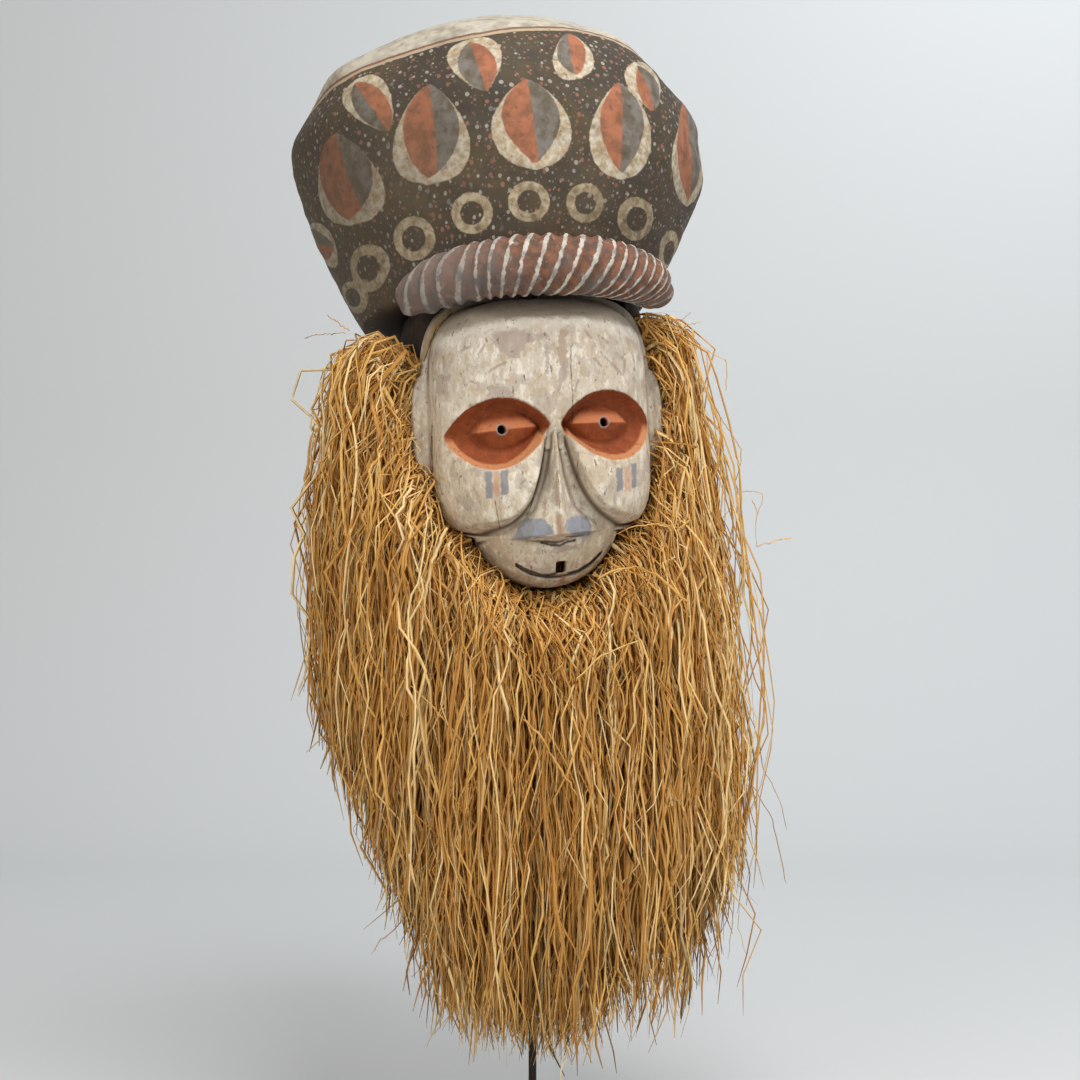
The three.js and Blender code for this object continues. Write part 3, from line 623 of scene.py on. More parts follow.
def distance_to(places, line, closed=False):
    """The distance from each place to a line through corners. Inside a closed line it is
    positive, and outside it is negative."""
    corners = np.array(line, float)
    ends = np.roll(corners, -1, axis=0) if closed else corners[1:]
    nearest = np.full(len(places), 1e9)
    inside = np.zeros(len(places), bool)
    for a, b in zip(corners, ends):
        along = b - a
        t = clamp((places - a) @ along / (along @ along))
        nearest = np.minimum(nearest, np.linalg.norm(places - a - t[:, None] * along, axis=1))
        crosses = (a[1] > places[:, 1]) != (b[1] > places[:, 1])
        reach = a[0] + (places[:, 1] - a[1]) * along[0] / (along[1] or 1e-9)
        inside ^= crosses & (places[:, 0] < reach)
    return np.where(inside, nearest, -nearest) if closed else nearest


# %% Painted and worn places, in the photograph's pixels
NOSTRIL_PATCHES = [[(512, 540), (518, 527), (527, 518), (541, 518), (553, 527), (554, 534), (535, 538)],
                   [(567, 532), (567, 521), (574, 516), (586, 516), (592, 526), (590, 536), (576, 536)]]
BLUE_BARS = [[(485, 471), (492, 471), (493, 498), (486, 499)],
             [(500, 470), (508, 470), (509, 494), (501, 495)],
             [(616, 468), (623, 468), (623, 490), (617, 491)],
             [(631, 464), (636, 463), (637, 487), (632, 488)]]
ORANGE_BARS = [[(493, 471), (499, 471), (500, 495), (494, 496)],
               [(624, 467), (630, 466), (631, 491), (625, 491)]]
CRACKS = [[(571, 346), (571, 372), (573, 395), (572, 422)], [(495, 501), (497, 512), (500, 529)],
          [(432, 425), (431, 448), (433, 472)], [(432, 436), (432.5, 470)], [(524, 375), (525, 380)],
          [(452, 313), (440, 326), (431, 342), (424, 361)], [(452, 313), (437, 327), (429, 345)],
          [(548, 430), (541, 470), (533, 500), (528, 514)], [(578, 452), (577, 480)]]
# Lines under the nose and along the mouth, darkened as painted shade in the creases.
SHADE_LINES = [[(541, 542.5), (551, 545), (560, 545.5), (567, 542), (575, 540)],
              [(516, 564), (525, 569), (533, 572), (541, 575), (550, 575), (557, 573)],
              [(568, 573), (578, 571), (590, 563), (600, 553)]]
# Places where the white paint has worn to the mauve ground or to brown wood, and long scratches.
MAUVE = [[(492, 334), (503, 329), (516, 328), (533, 334), (549, 333), (549, 338), (530, 342), (521, 352),
          (515, 362), (505, 355), (496, 348)], [(486, 387), (497, 384), (508, 388), (513, 396), (488, 397)],
         [(441, 376), (450, 375), (447, 383), (441, 384)], [(559, 362), (568, 362), (566, 378), (558, 391)],
         [(545, 345), (549, 347), (549, 375), (545, 374)], [(553, 546), (575, 545), (580, 549), (558, 553)]]
BROWN = [[(563, 326), (568, 325), (566, 345), (568, 362), (562, 372), (557, 352), (558, 338)],
         [(440, 322), (470, 316), (462, 330), (438, 340)], [(556, 470), (559, 470), (560, 505), (556, 505)]]
SCRATCHES = [[(584, 329), (591, 338)], [(497, 366), (489, 372)], [(600, 352), (612, 364), (623, 375)],
             [(625, 360), (624, 372)], [(491, 370), (506, 362)], [(443, 356), (444, 368)],
             [(578, 380), (575, 391)], [(462, 350), (470, 347)], [(603, 338), (608, 343)],
             [(594, 358), (601, 366)], [(485, 333), (490, 330)], [(521, 484), (525, 480)],
             [(529, 334), (528, 341)], [(480, 352), (485, 345)], [(471, 381), (476, 383)],
             [(617, 388), (620, 393)]]
# The bare strip of wood at the edge of the brow, and the stains under the nose and the mouth.
BARE_STRIP = [(438, 312), (431, 328), (424, 344), (421, 362), (425, 361), (431, 346), (437, 333),
              (447, 320), (458, 309)]
STAINS = [[(556, 512), (563, 514), (564, 534), (557, 534)],
          [(559, 573), (565, 573), (565, 582), (560, 583)]]
print("worn places:", len(MAUVE + BROWN), "and scratches:", len(SCRATCHES))

# %% Numbers stored on the face for its paint
CREVICE_ROUNDS = 10
seen = seen_at(front)


def patch_distance(shapes):
    """How many pixels a point is inside the nearest of the closed shapes."""
    return np.max([distance_to(seen, shape, closed=True) for shape in shapes], axis=0)


def line_distance(lines):
    """How many pixels a point is off the nearest of the lines."""
    return np.min([distance_to(seen, line) for line in lines], axis=0)


def fill(values, rest):
    """Values for the face's front, and one number for its back."""
    return np.concatenate([values, np.full(len(back), rest)])


grid = heights.reshape(FACE_ROWS, FACE_COLUMNS)
around = grid.copy()
for _ in range(CREVICE_ROUNDS):
    around[1:-1, 1:-1] = (around[:-2, 1:-1] + around[2:, 1:-1] + around[1:-1, :-2] + around[1:-1, 2:]) / 4
u, v = feature_place(x, z)
pupil = np.hypot(np.abs(u) - HOLES[1][0], v - HOLES[1][1]) - HOLES[1][2]
set_values(
    face,
    eye=fill((1 - share) * 44, -20),
    pupil=fill(pupil, 20),
    nostril=fill(patch_distance(NOSTRIL_PATCHES), -20),
    blue=fill(patch_distance(BLUE_BARS), -20),
    orange=fill(patch_distance(ORANGE_BARS), -20),
    stain=fill(patch_distance(STAINS), -20),
    strip=fill(patch_distance([BARE_STRIP]), -20),
    crack=fill(line_distance(CRACKS), 20),
    scratch=fill(line_distance(SCRATCHES), 20),
    dark_line=fill(np.minimum(line_distance(SHADE_LINES), 4.5 - 0.68 * mouth_cut(u, v)), 20),
    over_brow=fill(z - BROW_EDGE + BROW_SAG * (x / FACE_HALF_WIDTH) ** 2, -90),
    mauve=fill(patch_distance(MAUVE), -20),
    brown=fill(patch_distance(BROWN), -20),
    lens=fill((1 - lens) * 32, -20),
    crevice=fill((around - grid).ravel(), 0),
    fold=fill(v + EYE_BELOW + EYE_DROOP * clamp((np.abs(u) - EYE_INNER) / (EYE_OUTER - EYE_INNER)), 0),
    bare=fill(np.zeros(front_count), 1),
)
print("painted places on the face:", int((share < 1).sum()), "points in the eye sockets")

# %% [markdown]
# ## Paint in layers
# Each painted surface is built up like the real one: a ground colour, then coats laid over it,
# each with a mask. A picture could be wrapped round the piece instead, but it blurs when seen from
# near. A mask made from a stored distance stays sharp, and a little noise gives it a brushed edge.

# %% Layers for the materials
def value_of(tree, name):
    """A number stored on the points."""
    return add(tree, "ShaderNodeAttribute", attribute_name=name).outputs["Fac"]


def noise_of(tree, size, detail=4, stretch=(1, 1, 1)):
    """Noise with bumps of a size in millimetres, from 0 to 1."""
    place = add(tree, "ShaderNodeTexCoord").outputs["Object"]
    flat = add(tree, "ShaderNodeMapping", {"Vector": place, "Scale": tuple(1 / s for s in stretch)})
    settings = {"Vector": flat.outputs[0], "Scale": 1 / (size * MM), "Detail": detail, "Roughness": 0.6}
    return add(tree, "ShaderNodeTexNoise", settings).outputs[0]


def mask(tree, value, low, high):
    """0 where the value is low and 1 where it is high. Low may be the larger number."""
    settings = {"Value": value, "From Min": low, "From Max": high}
    return add(tree, "ShaderNodeMapRange", settings).outputs[0]


def both(tree, first, second):
    """Two masks at once, or a mask and its strength."""
    return add(tree, "ShaderNodeMath", {0: first, 1: second}, operation="MULTIPLY").outputs[0]


def frayed(tree, value, grain, width, middle=0):
    """A value moved up and down by a grain, so that a mask made from it gets a ragged edge."""
    off = add(tree, "ShaderNodeMath", {0: grain, 1: middle}, operation="SUBTRACT").outputs[0]
    settings = {0: off, 1: width, 2: value}
    return add(tree, "ShaderNodeMath", settings, operation="MULTIPLY_ADD").outputs[0]


def brushed(tree, name, size=5, wander=2.2, soft=1.2):
    """A mask of the places where a stored distance is positive, with a hand-brushed edge."""
    wandering = frayed(tree, value_of(tree, name), noise_of(tree, size, 3), 2 * wander, middle=0.5)
    return mask(tree, wandering, -soft / 2, soft / 2)


# %% Coats of paint, and a piece's last steps
def painted(tree, ground, *coats):
    """Lays coats of paint over a ground. A coat is a colour, a mask, and perhaps a strength or a
    second mask. A colour is a hex code, or something that is painted already."""
    below = linear(ground) if isinstance(ground, str) else ground
    for colour, share, *strength in coats:
        colour = linear(colour) if isinstance(colour, str) else colour
        share = both(tree, share, *strength) if strength else share
        settings = {0: share, 6: below, 7: colour}
        below = add(tree, "ShaderNodeMix", settings, data_type="RGBA").outputs[2]
    return below


def dress(tree, shader, colour, grain=None, depth_mm=0, strength=0.5):
    """Gives the shader its colour, and a bump for grain that is too small for the mesh."""
    tree.links.new(colour, shader.inputs["Base Color"])
    if grain:
        settings = {"Height": grain, "Distance": depth_mm * MM, "Strength": strength}
        tree.links.new(add(tree, "ShaderNodeBump", settings).outputs[0], shader.inputs["Normal"])


def finish_piece(piece, node, material):
    """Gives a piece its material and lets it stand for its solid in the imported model."""
    piece.data.materials.append(material)
    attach(piece, "root")
    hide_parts(node)


# %% The white clay of the face
# Light wood under kaolin, a white clay paint that is brushed on and has yellowed and worn. It is
# matt and chalky, so the roughness is high. Its pores are full of air, so its IOR is set a little
# lower than that of solid clay.
wood, tree, shader = new_material("kaolin_on_wood", 0.82, IOR=1.45)
broad, fine = noise_of(tree, 60), noise_of(tree, 9, 6)
streaks, grit = noise_of(tree, 7, 7, stretch=(1, 1, 2.6)), noise_of(tree, 2.6, 5, stretch=(1, 1, 1.8))
chips, over_brow = noise_of(tree, 5, 7, stretch=(1, 1, 2)), value_of(tree, "over_brow")
crevice, scratch = value_of(tree, "crevice"), frayed(tree, value_of(tree, "scratch"), grit, 3)
brow_edge = frayed(tree, over_brow, fine, 16, middle=0.5)
colour = painted(
    tree, "#d1c5b0",
    ("#bfae94", mask(tree, broad, 0.4, 0.64)),
    # Greyer over the forehead, as painted shade where the top of the face gets less light.
    ("#a89d91", mask(tree, over_brow, -100, -30), 0.4),
    ("#e4dccb", mask(tree, streaks, 0.53, 0.59), 0.55),
    ("#a5937a", mask(tree, streaks, 0.44, 0.38), 0.65),
    ("#a19385", mask(tree, noise_of(tree, 20, 9), 0.53, 0.57), 0.5),
    ("#b4a082", mask(tree, noise_of(tree, 11, 9), 0.56, 0.6), 0.55),
    ("#8d7b68", mask(tree, grit, 0.6, 0.68), 0.55),
    ("#a18c76", brushed(tree, "brown", wander=6, soft=1.5), 0.8),
    ("#9d8b80", brushed(tree, "mauve", size=6, wander=6, soft=1.5), 0.7),
    ("#8a7767", mask(tree, scratch, 3.2, 2.2), 0.55),
    # A painted highlight just below the brow's edge, where the forehead turns back, and painted shade above
    # it, under the roll.
    ("#e0d9ca", mask(tree, brow_edge, -12, -4), 0.5),
    ("#8c7c6a", mask(tree, brow_edge, -1, 4), 0.65),
    ("#6f5c50", mask(tree, chips, 0.63, 0.66), 0.75),
    # Darker in the hollows of the carving: grime in the creases, and painted shade.
    ("#8a7a66", mask(tree, crevice, 0.15, 1.6)),
    ("#5c4c3c", mask(tree, crevice, 1.6, 3.2)),
)
print("clay paint in", len(tree.nodes), "nodes")

# %% The red earth in the eye sockets
# The facet above the lens's ridge and the lower lip of the socket are paler, as painted highlights where
# the light from above falls on them. The crease round the lens is darker, as painted shade.
fold, in_lens = value_of(tree, "fold"), value_of(tree, "lens")
lit_facet = both(tree, mask(tree, fold, -0.3, 0.7), mask(tree, fold, 12, 6))
lit_facet = both(tree, lit_facet, mask(tree, in_lens, 1, 6))
lip = both(tree, mask(tree, value_of(tree, "eye"), 7.5, 5.5), mask(tree, fold, -1, -8))
off_crease = add(tree, "ShaderNodeMath", {0: in_lens}, operation="ABSOLUTE").outputs[0]
red_earth = painted(
    tree, "#7c3710",
    ("#904518", mask(tree, fine, 0.4, 0.65)),
    ("#b97045", lit_facet, 0.9),
    ("#b97a4c", lip),
    # Painted shade along the crease round the lens.
    ("#5a2a18", mask(tree, off_crease, 2, 0.4), 0.3),
    ("#55291a", mask(tree, noise_of(tree, 4, 7), 0.6, 0.66), 0.7),
)

# %% The face's bars, stains, cracks and bare wood
blue = painted(tree, "#878c99", ("#6b6f73", mask(tree, streaks, 0.42, 0.6)))
crack = frayed(tree, value_of(tree, "crack"), grit, 2.2)
dark_line = frayed(tree, value_of(tree, "dark_line"), grit, 2.2)
colour = painted(
    tree, colour,
    (red_earth, brushed(tree, "eye", wander=1.2, soft=1.6)),
    ("#8f8a83", mask(tree, value_of(tree, "pupil"), 2.2, 0.8), 0.6),
    ("#7d7c80", brushed(tree, "blue", size=4, soft=1.6), 0.85),
    (blue, brushed(tree, "nostril", size=6, wander=3.5, soft=2), 0.85),
    ("#bd8b6c", brushed(tree, "orange", size=4, wander=2.4, soft=1.8), 0.65),
    ("#93704f", brushed(tree, "stain", wander=2.5, soft=3), 0.75),
    ("#a8906c", brushed(tree, "strip", wander=1)),
    ("#3b2d22", mask(tree, crack, 2.1, 1.2), 0.85),
    # Painted shade under the nose and in the mouth's groove.
    ("#33271d", mask(tree, dark_line, 2.9, 1.7), 0.9),
    ("#5d4a38", value_of(tree, "bare")),
)
dress(tree, shader, colour, frayed(tree, fine, grit, 1), depth_mm=1)
finish_piece(face, "carved_face", wood)
print("face painted in", len(tree.nodes), "nodes")

# %% [markdown]
# ## The headdress
# Painted cloth is drawn over light sticks and stiffened with resin, so the form has soft corners
# where a stick's end pushes it out. It could be sculpted, or draped by a cloth simulation. Stiff
# cloth keeps its form, so a formula is surer, and it also tells where each painted motif lies. Each
# place is given by a turn round the leaning axis, from the front, and by a share of the height.

# %% The headdress's form
CROWN_X, CROWN_Y, CROWN_Z = -23, 30, 827
CROWN_LEAN, CROWN_DRIFT, CROWN_WALL = math.radians(15), 12, 5
OPENING_TILT, RIM_TILT, OPENING_ROLL, RIM_ROLL = 9, 16, -4, 5
STICKS, FIRST_STICK, SLACK = 8, -102, 0.03
CROWN_PROFILE = [(0, 142), (40, 166), (90, 195), (142, 209), (184, 202), (220, 185), (252, 146),
                 (276, 98), (290, 16)]
# Where the cloth is pushed out or falls in: turn, share of the height, half-widths, and how far.
PUSHES = [(-64, 0.71, 12, 0.05, 8), (-76, 0.6, 12, 0.05, -3), (-92, 0.58, 26, 0.13, 10),
          (30, 0.83, 9, 0.05, 5), (50, 0.77, 14, 0.05, -5), (68, 0.68, 12, 0.06, 5),
          (84, 0.35, 34, 0.17, -13)]
PEAK = CROWN_PROFILE[-1][0]


def crown_point(turn, share, inset=0.0):
    """A point of the headdress, at a turn in radians and a share of the height."""
    turn, share = np.broadcast_arrays(np.asarray(turn, float), np.asarray(share, float))
    height = np.where(share > 0, np.minimum(share * PEAK, PEAK - inset), 0)
    radius = np.maximum(4, curve_through(CROWN_PROFILE, share * PEAK) - inset)
    between = 0.5 - 0.5 * np.cos(STICKS * (turn - math.radians(FIRST_STICK)))
    reach = radius * (1 - SLACK * between * np.sin(math.pi * clamp(share * 1.1)))
    for middle, level, wide, tall, push in PUSHES:
        around = (turn - math.radians(middle) + math.pi) % (2 * math.pi) - math.pi
        reach = reach + push * np.exp(-((around / math.radians(wide)) ** 2) - ((share - level) / tall) ** 2)
    tilt = np.radians(mix(OPENING_TILT, RIM_TILT, smooth(share * 2)))
    roll = np.radians(mix(OPENING_ROLL, RIM_ROLL, smooth(share * 2.4)) * (1 - smooth(share * 2 - 1)))
    forward, sideways = reach * np.cos(turn), reach * np.sin(turn)
    return np.stack([CROWN_X + CROWN_DRIFT * share + sideways * np.cos(roll),
                     CROWN_Y + height * math.sin(CROWN_LEAN) - forward * np.cos(tilt),
                     CROWN_Z + height * math.cos(CROWN_LEAN) + forward * np.sin(tilt)
                     - sideways * np.sin(roll)], -1)


# %% The hood's outline, which the headdress's lower edge is turned in to meet
HOOD_RIM_HALF_WIDTH, HOOD_HALF_WIDTH, HOOD_WIDEST_Y, HOOD_BACK = 103, 127, 28, 138
HOOD_BOTTOM, HOOD_TOP, HOOD_THICKNESS = 685, 880, 4
HOOD_TAPER = [(0, -4), (0.4, 0), (0.75, -12), (1, -22)]
FRONT_SHARE = 0.36


def hood_plan(t, grow=0.0):
    """The hood seen from above, from the rim's left edge (0) round the back to its right (1)."""
    side, along = np.where(t < 0.5, -1, 1), 2 * np.minimum(t, 1 - t)
    back_turn = math.pi / 2 * clamp((along - FRONT_SHARE) / (1 - FRONT_SHARE))
    front_turn = math.pi / 2 * (1 - clamp(along / FRONT_SHARE))
    bulge = HOOD_RIM_HALF_WIDTH + (HOOD_HALF_WIDTH - HOOD_RIM_HALF_WIDTH) * np.cos(front_turn)
    fore = HOOD_WIDEST_Y - (HOOD_WIDEST_Y - RIM_Y) * np.sin(front_turn)
    rear = HOOD_WIDEST_Y + (HOOD_BACK - HOOD_WIDEST_Y + grow) * np.sin(back_turn)
    wide = np.where(along < FRONT_SHARE, bulge, HOOD_HALF_WIDTH * np.cos(back_turn))
    return FACE_X + side * (wide + grow * np.cos(back_turn)), np.where(along < FRONT_SHARE, fore, rear)


# %% The headdress's mesh, an outer and an inner skin
CROWN_SIDES, CROWN_LEVELS, INNER_LEVELS = 300, 128, 14
APEX_RISE = 5


def cloth_relief(points):
    """Slack wrinkles, and the weave's lumps under the paint."""
    return (1.3 * noise(points, 46, 21) + 0.8 * noise(points, (22, 22, 12), 22)
            + 0.35 * noise(points, 7, 23) + 0.16 * noise(points, 3.2, 24))


turns = np.arange(CROWN_SIDES) / CROWN_SIDES * 2 * math.pi
levels = np.linspace(0, 1, CROWN_LEVELS) ** 0.92
outer = crown_point(turns[None, :], levels[:, None])
relief = cloth_relief(outer) * clamp(levels * 12)[:, None]
outer = outer + out_of(outer, closed=True) * relief[..., None]
apex = outer[-1].mean(axis=0) + (0, 0, APEX_RISE)
cap = [mix(apex, outer[-1], s) + (0, 0, APEX_RISE * 0.3 * math.sin(math.pi * s))
       for s in (0.66, 0.33, 0.02)]
plan_x, plan_y = hood_plan(np.linspace(0, 1, 200), HOOD_TAPER[2][1])
plan_turn = np.arctan2(plan_x - CROWN_X, CROWN_Y - plan_y)
order = np.argsort(plan_turn)
hood_reach = np.interp((turns + math.pi) % (2 * math.pi) - math.pi, plan_turn[order],
                       np.hypot(plan_x - CROWN_X, plan_y - CROWN_Y)[order])
edge = crown_point(turns, 0 * turns)
centre = edge.mean(axis=0)
reach = np.linalg.norm((edge - centre)[:, :2], axis=1)
turned_in = centre + (edge - centre) * clamp((hood_reach + 1.5) / reach)[:, None]
inner = crown_point(turns[None, :], np.linspace(0.018, 1, INNER_LEVELS)[:, None], CROWN_WALL)
lining = [mix(edge, turned_in, 0.5) - (0, 0, 1), turned_in, turned_in + (0, 0, 2.5),
          mix(edge, turned_in, 0.35) + (0, 0, 3.5)]
skin = np.concatenate([inner[::-1], lining[::-1], outer, cap])
skin_rows = len(skin)
skin_points = np.concatenate([skin.reshape(-1, 3), [inner[-1].mean(axis=0), apex]])
tip = np.arange(CROWN_SIDES)
last = (skin_rows - 1) * CROWN_SIDES
fans = [np.stack([tip, (tip + 1) % CROWN_SIDES, 0 * tip + len(skin_points) - 2], 1)[:, ::-1],
        np.stack([last + tip, last + (tip + 1) % CROWN_SIDES, 0 * tip + len(skin_points) - 1], 1)]
crown = make_mesh("headdress_cloth", skin_points, band_faces(skin_rows, CROWN_SIDES), np.concatenate(fans))
first_outer = (INNER_LEVELS + len(lining)) * CROWN_SIDES
print("headdress:", len(crown.data.polygons), "faces")

# %% [markdown]
# ## The painted motifs of the headdress
# Rings and drops are painted on the curved cloth. Each one is given by four pixels of the
# photograph: its tip, its far end and its two sides. A ray through each finds the cloth, and the
# four places make a small flat frame in which the shape is drawn in millimetres.

# %% Where a pixel meets the cloth
CROWN_PIXEL = (500, 190)
outer_flat = outer.reshape(-1, 3)
outer_quads = band_faces(CROWN_LEVELS, CROWN_SIDES)
crown_tree = BVHTree.FromPolygons((outer_flat * MM).tolist(), outer_quads.tolist())


def on_cloth(x, y):
    """The place on the cloth that the camera sees in a pixel, and its turn and share. A pixel just
    beside the cloth is moved towards the cloth's middle."""
    for _ in range(20):
        place, _, quad, _ = crown_tree.ray_cast(Vector(camera_place * MM), Vector(sight_line(x, y)))
        if place is not None:
            turn = (turns[quad % CROWN_SIDES] + math.pi) % (2 * math.pi) - math.pi
            return np.array(place) / MM, turn, levels[quad // CROWN_SIDES]
        x, y = x + 0.008 * (CROWN_PIXEL[0] - x), y + 0.008 * (CROWN_PIXEL[1] - y)
    raise ValueError(f"no cloth near pixel {x}, {y}")


def seen_frame(tip, far, left, right):
    """A motif's middle, and half its way along to the tip and across to its right side. The four
    pixels are its tip, its far end and its sides. Last come the places of its two ends."""
    far, left, right = (on_cloth(*pixel)[0] for pixel in (far, left, right))
    middle = (left + right) / 2
    tip = on_cloth(*tip)[0] if tip else 2 * middle - far
    return ((tip + far) / 2 + middle) / 2, (tip - far) / 2, (right - left) / 2, (tip, far)


# %% The drops and rings that the camera sees
# Tip, far end and the two sides of each drop, then how far the split between its colours is off
# the far end, whether orange is on the side of -1 or 1, and how pointed the far end is.
DROPS = [
    ((336, 133), (350, 226), (317.5, 188), (383, 182), 0.5, -1, 0.45),
    ((429, 84), (428, 185), (397, 140), (474.5, 138), 0.22, -1, 0.45),
    ((527, 79), (536, 170), (491.5, 132), (571.5, 130), 0.1, -1, 0.6),
    ((619.5, 82), (621, 180), (588.5, 132), (650.5, 135), -0.05, -1, 0.55),
    ((684, 103), (687, 207), (664.5, 155), (699, 157), 0.1, -1, 0.7),
    (None, (336, 246), (326, 268), (312, 222), 0.0, -1, 0.45),
    ((389, 132), (355, 80), (393.5, 92), (351.5, 115), 0.1, -1, 0.4),
    ((486, 92), (468, 39), (503.5, 57), (451, 70), 0, -1, 0.4),
    ((567, 33), (579, 79), (550.5, 62), (590, 52), -0.1, 1, 0.45),
    ((654, 111), (634, 62), (661.5, 79), (634.5, 89), 0.2, 1, 0.45),
]
# Top, bottom and the two sides of each ring.
RINGS = [((352, 281), (357, 314), (342, 298), (366, 299)),
         ((369, 244), (369, 292), (349.5, 268), (389, 268)),
         ((414, 216), (414, 261), (393, 238.5), (435, 238.5)),
         ((472, 192), (472, 234), (451, 213), (493, 213)),
         ((529, 181), (529, 222), (508, 201.5), (550, 201.5)),
         ((585, 183), (585, 223), (566, 203), (604, 203)),
         ((636, 197), (636, 241), (618.5, 219), (653.5, 219)),
         ((671, 230), (667, 274), (657, 252), (679, 251))]
print("motifs in front:", len(DROPS), "drops and", len(RINGS), "rings")

# %% The motifs round the sides and the back
# They go on behind as they do in front. Each has a turn in degrees, a share of the height, half its
# height in shares, half its width in millimetres, and 1 with its tip at the top, or else -1.
HIDDEN_DROPS = [(turn, 0.5, 0.155, 33, 1) for turn in (96, 122, 148, 174, 200, 226)]
HIDDEN_DROPS += [(turn, 0.775, 0.075, 24, -1) for turn in (88, 116, 144, 172, 200, 228, 256)]
HIDDEN_RINGS = [(turn, 0.235, 0.075, 22, 1) for turn in range(92, 253, 16)]


def hidden_frame(turn, share, half_share, half_width, up):
    """The middle, half the way along and across, and the ends of a motif that isn't seen."""
    turn = math.radians(turn)
    tip, far = crown_point(turn, share + half_share * up), crown_point(turn, share - half_share * up)
    middle = crown_point(turn, share)
    across = crown_point(turn + 0.05, share) - middle
    across = across / np.linalg.norm(across) * half_width * up
    return middle, (tip - far) / 2, across, (tip, far)


# %% A motif laid flat
NEAR_SHARE, NEAR_DEPTH = 1.7, 0.75


def flat_places(motif, points):
    """Millimetres across and along a motif, for points near it, and which points are near."""
    middle, along, across, ends = motif
    long, wide = np.linalg.norm(along), np.linalg.norm(across)
    to_flat = np.linalg.pinv(np.stack([across, along]))
    places = (points - middle) @ to_flat
    tip_off, far_off = ((end - middle) @ to_flat for end in ends)
    share = (places[:, 1] - far_off[1]) / (tip_off[1] - far_off[1])
    places[:, 0] -= mix(far_off[0], tip_off[0], share) * (2 * share - 1) ** 2
    places[:, 1] = 2 * share - 1
    facing = np.cross(across / wide, along / long)
    near = np.abs((points - middle) @ facing) < NEAR_DEPTH * long
    near &= (np.abs(places) < NEAR_SHARE).all(axis=1)
    return places[near] * (wide, long), near, wide, long


def drop_outline(wide, long, pointed, inset=0.0):
    """A drop's outline, with its tip at the top. An inset leaves the tip open."""
    x = np.linspace(0, 1, 28) ** 1.3
    width = x**0.8 * (1 - x) ** pointed
    width = width / width.max() * (wide - 1.15 * inset)
    height = long - x * (2 * long - 0.6 * inset)
    return [*zip(width, height), *zip(-width[-2:0:-1], height[-2:0:-1])]


# %% Distances to the motifs, stored on the cloth
BAND, FAR_OFF = 9, -30.0
drop_edge, drop_core, split, ring = (np.full(len(outer_flat), FAR_OFF) for _ in range(4))
drops = [(seen_frame(*spec[:4]), *spec[4:]) for spec in DROPS]
drops += [(hidden_frame(*spec), 0.1 * spec[4], -1, 0.45) for spec in HIDDEN_DROPS]
for motif, lean, orange, pointed in drops:
    places, near, wide, long = flat_places(motif, outer_flat)
    rim = distance_to(places, drop_outline(wide, long, pointed), closed=True)
    rim = np.minimum(rim, 0.9 * long - places[:, 1])
    inner_line = drop_outline(wide, long, pointed + 0.4, BAND * min(1, wide / 34))
    core = distance_to(places, inner_line, closed=True)
    closer = rim > drop_edge[near]
    across = orange * (places[:, 0] - lean * wide * (long - places[:, 1]) / (2 * long))
    for stored, values in ((drop_edge, rim), (drop_core, core), (split, across)):
        stored[near] = np.where(closer, values, stored[near])
for motif in [seen_frame(*spec) for spec in RINGS] + [hidden_frame(*spec) for spec in HIDDEN_RINGS]:
    places, near, wide, long = flat_places(motif, outer_flat)
    round_share = np.hypot(places[:, 0] / wide, places[:, 1] / long)
    ring[near] = np.maximum(ring[near], (0.21 - np.abs(round_share - 0.78)) * (wide + long) / 2)

print("drops:", len(drops), "and rings:", len(RINGS) + len(HIDDEN_RINGS))

# %% Dirt and painted shade, and the border round the top
# Places that are darker, from dirt and from painted shade: pixel, reach in pixels, and how dark.
DIRT_AND_SHADE_PLACES = [(325, 200, 85, 0.95), (372, 300, 60, 0.6), (605, 238, 70, 0.5), (430, 150, 62, 0.5),
         (700, 200, 45, 0.3)]

# The border's line in front is read off the photograph, and goes on evenly behind.
BORDER_LINE = [(310, 114), (332, 88), (346, 80), (385, 62), (438, 46), (490, 35), (543, 30), (575, 31),
               (606, 38), (627, 48), (643, 60)]
found = [on_cloth(x, y)[1:] for x, y in BORDER_LINE]
print("border at share", [round(float(share), 3) for _, share in found])
line_turns, line_shares = zip(*found)
border_share = np.interp(turns, line_turns, line_shares, period=2 * math.pi)
border = (levels[:, None] - border_share) * PEAK * 1.25
seen = seen_at(outer_flat)
dirty = sum(level * np.exp(-(((seen[:, 0] - px) ** 2 + (seen[:, 1] - py) ** 2) / reach**2))
            for px, py, reach, level in DIRT_AND_SHADE_PLACES)


# %% Numbers stored on the headdress for its paint
def whole(values, rest, top):
    """Values for the outer skin, and set ones for the lining and the tip."""
    beyond = len(skin_points) - first_outer - len(outer_flat)
    return np.concatenate([np.full(first_outer, rest), np.ravel(values), np.full(beyond, top)])


set_values(
    crown,
    dirty=whole(dirty, 0, 0.2),
    drop=whole(drop_edge, FAR_OFF, FAR_OFF),
    ring=whole(ring, FAR_OFF, FAR_OFF),
    core=whole(drop_core, FAR_OFF, FAR_OFF),
    split=whole(split, FAR_OFF, FAR_OFF),
    border=whole(border, -90, 60),
    lining=np.concatenate([np.ones(first_outer), np.zeros(len(skin_points) - first_outer)]),
)
print("numbers on the headdress:", len(crown.data.attributes))

